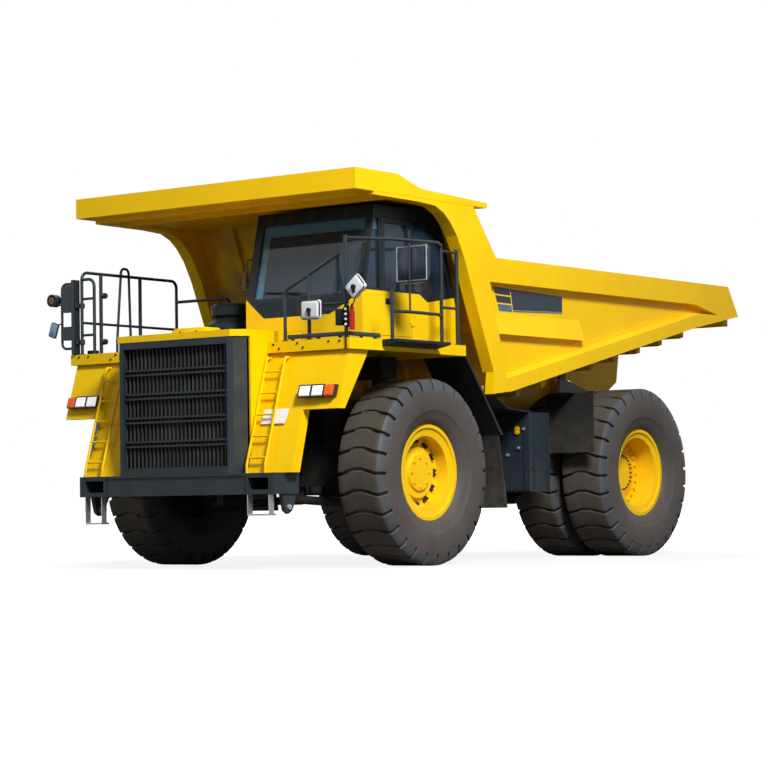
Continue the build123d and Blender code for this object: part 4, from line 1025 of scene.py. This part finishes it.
wipers = []
for foot_x, tip_x, tip_z in ((0.98, 0.33, 3.150), (1.42, 1.30, 3.560)):
    wipers.append(tube("arm", [(foot_x, screen_y(3.06, 0.045), 3.060),
                               (foot_x, screen_y(3.09, 0.05), 3.095),
                               ((foot_x + tip_x) / 2, screen_y((3.1 + tip_z) / 2, 0.030),
                                (3.095 + tip_z) / 2)], 0.008))
    wipers.append(tube("blade", [(foot_x - (foot_x - tip_x) * 0.2, screen_y(3.12, 0.016), 3.115),
                                 (tip_x, screen_y(tip_z, 0.016), tip_z)], 0.009))
dress(join("wipers", wipers), black_rubber)
grabs = [tube("grab_right", [(0.068, -3.36, 3.19), (0.02, -3.39, 3.19), (0.02, -3.39, 3.25),
                             (0.02, -3.30, 3.56), (0.068, -3.27, 3.56)], 0.011),
         tube("grab_left", [(1.690, screen_y(z, off), z) for z, off in (
             (3.28, 0.030), (3.28, 0.075), (3.62, 0.075), (3.62, 0.030))], 0.009)]
dress(join("cab_grabs", grabs), rail_paint)
handle = [slab("handle_plate", (1.758, -2.98, 2.955), (1.764, -2.82, 3.025), 0.002),
          tube("handle", [(1.762, -2.965, 2.99), (1.779, -2.955, 2.99), (1.779, -2.845, 2.99),
                          (1.762, -2.835, 2.99)], 0.007)]
dress(join("door_handle", handle), black_rubber, body="cab_door")
wheel = start("torus", "steering_wheel", major_radius=0.20, minor_radius=0.016,
              major_segments=32, minor_segments=8)
spokes = [tube("spoke", [(0, 0, -0.02), (0.195 * math.cos(a), 0.195 * math.sin(a), 0)], 0.011)
          for a in (math.radians(90), math.radians(210), math.radians(330))]
column = tube("column", [(0, 0, 0.0), (0, 0, -0.42)], 0.03)
whole = join("steering_wheel", [wheel, *spokes, column])
whole.data.transform(Matrix.Translation((0.95, -2.96, 3.17)) @ Matrix.Rotation(
    math.radians(28), 4, "X"))
dress(whole, black_rubber)
print("cab fittings made")


# %% [markdown]
# ## Fittings on the body
# Each tank has four straps, and the left one has a yellow filler cap, three plugs and a
# drain. The hood has a raised hatch with two latches. Bolts hold the deck's lip, each
# rail post stands on a round foot, and a pin goes through each tow lug. They are the
# blocks, studs and bars of the helpers, set on the faces that carry them.

# %% Tank fittings
TANK_FACE_Y, TANK_SIDE_X, STRAP_LOW, STRAP_HIGH = -0.09, 1.75, 0.86, 1.77
caps = [knob("cap", (1.584, TANK_FACE_Y, z), (0, -1, 0), 0.032, height, 20)
        for z, height in ((1.600, 0.022), (1.560, 0.020))]
dress(join("tank_cap", caps), yellow)
plugs = [knob("plug", (x, TANK_FACE_Y, z), (0, -1, 0), radius, 0.02)
         for x, z, radius in ((1.680, 1.595, 0.018), (1.602, 1.365, 0.020), (1.438, 1.283, 0.022))]
dress(join("tank_plugs", plugs), pale_metal)
dress(knob("tank_drain", (TANK_SIDE_X, 0.009, 1.118), (1, 0, 0), 0.040, 0.015, 20), nut_steel)
spans = [((TANK_SIDE_X - 0.002, TANK_SIDE_X + 0.005), (y, y + 0.045)) for y in (-0.02, 0.27)]
spans += [((x, x + 0.045), (TANK_FACE_Y - 0.005, TANK_FACE_Y + 0.002)) for x in (1.06, 1.66)]
for side, word in ((1, "left"), (-1, "right")):
    straps = []
    for across_x, along_y in spans:
        near, far = sorted(side * x for x in across_x)
        straps.append(slab("strap", (near, along_y[0], STRAP_LOW), (far, along_y[1], STRAP_HIGH),
                           0.002))
    dress(join(f"tank_straps_{word}", straps), dark)
print("tank fittings made")


# %% Hood and deck fittings
HOOD_TOP, LIP_Y = 2.655, -4.074
hatch = [slab("hatch", (-0.33, -4.25, HOOD_TOP), (0.17, -3.95, HOOD_TOP + 0.055), 0.012),
         slab("hatch_lid", (-0.31, -4.235, HOOD_TOP + 0.05), (0.15, -3.965, HOOD_TOP + 0.075),
              0.008)]
dress(join("hood_hatch", hatch), yellow)
latches = [knob("latch", (x, -4.235, HOOD_TOP + 0.028), (0, -1, 0), 0.012, 0.02)
           for x in (-0.2, 0.04)]
latches.append(slab("right_box", (-1.90, -3.99, DECK), (-1.79, -3.90, DECK + 0.05), 0.006))
dress(join("hood_latches", latches), black_rubber)
lip_bolts = [knob("bolt", (side * x, LIP_Y, z), (0, -1, 0), 0.013, 0.010, 6)
             for side in (-1, 1)
             for x, z in ((1.02, 2.49), (1.10, 2.44), (1.36, 2.49), (1.44, 2.44), (1.80, 2.49),
                          (1.95, 2.49))]
dress(join("lip_bolts", lip_bolts), nut_steel)
posts = [(1.155, POST_Y), (1.496, POST_Y), (2.01, POST_Y), (2.05, -2.30), (2.05, -1.99),
         (-1.94, POST_Y), (-1.96, -2.333), (-1.942, -3.703), (-1.95, -3.007), (-1.74, POST_Y),
         (-1.948, -3.42), (-1.948, -3.18), (-1.10, -2.333)]
feet = [knob("foot", (x, y, DECK), (0, 0, 1), 0.042, 0.010, 20) for x, y in posts]
feet += [knob("clamp", (-1.60, POST_Y, z), (1, 0, 0), 0.034, 0.045, 20) for z in (2.656, 3.197)]
dress(join("rail_feet", feet), rail_paint)
print("hood and deck fittings made")


# %% Mirror glass, spot lens and tow pins
dress(knob("spot_lens", (-2.370, -4.103, 3.184), (0, -1, 0), 0.062, 0.002, 24), amber_glass)
# The small mirror's pale blue is a painted reflection of the sky.
small_mirror = slab("small_mirror", (-0.052, -0.004, -0.080), (0.052, 0.004, 0.080), 0.002)
small_mirror.data.transform(Matrix.Translation((-2.365, -4.083, 2.830))
                            @ Matrix.Rotation(0.35, 4, "Y"))
dress(small_mirror, small_mirror_sky_colour)
# The door mirror's dark colour is a painted reflection.
dress(slab("door_mirror_glass", (2.075, -3.157, 3.18), (2.44, -3.149, 3.56), 0.003), door_mirror_painted_dark)
PIN_Y, PIN_Z = -4.340, 0.690
pins = [knob("pin", (side * 1.426, PIN_Y, PIN_Z), (side, 0, 0), 0.030, 0.02, 20)
        for side in (-1, 1)]
pins += [tube("pin", [(side * x, PIN_Y, PIN_Z) for x in (1.37, 1.427)], 0.026)
         for side in (-1, 1)]
dress(join("tow_pins", pins), pale_metal)
print("glass, lens and pins made")
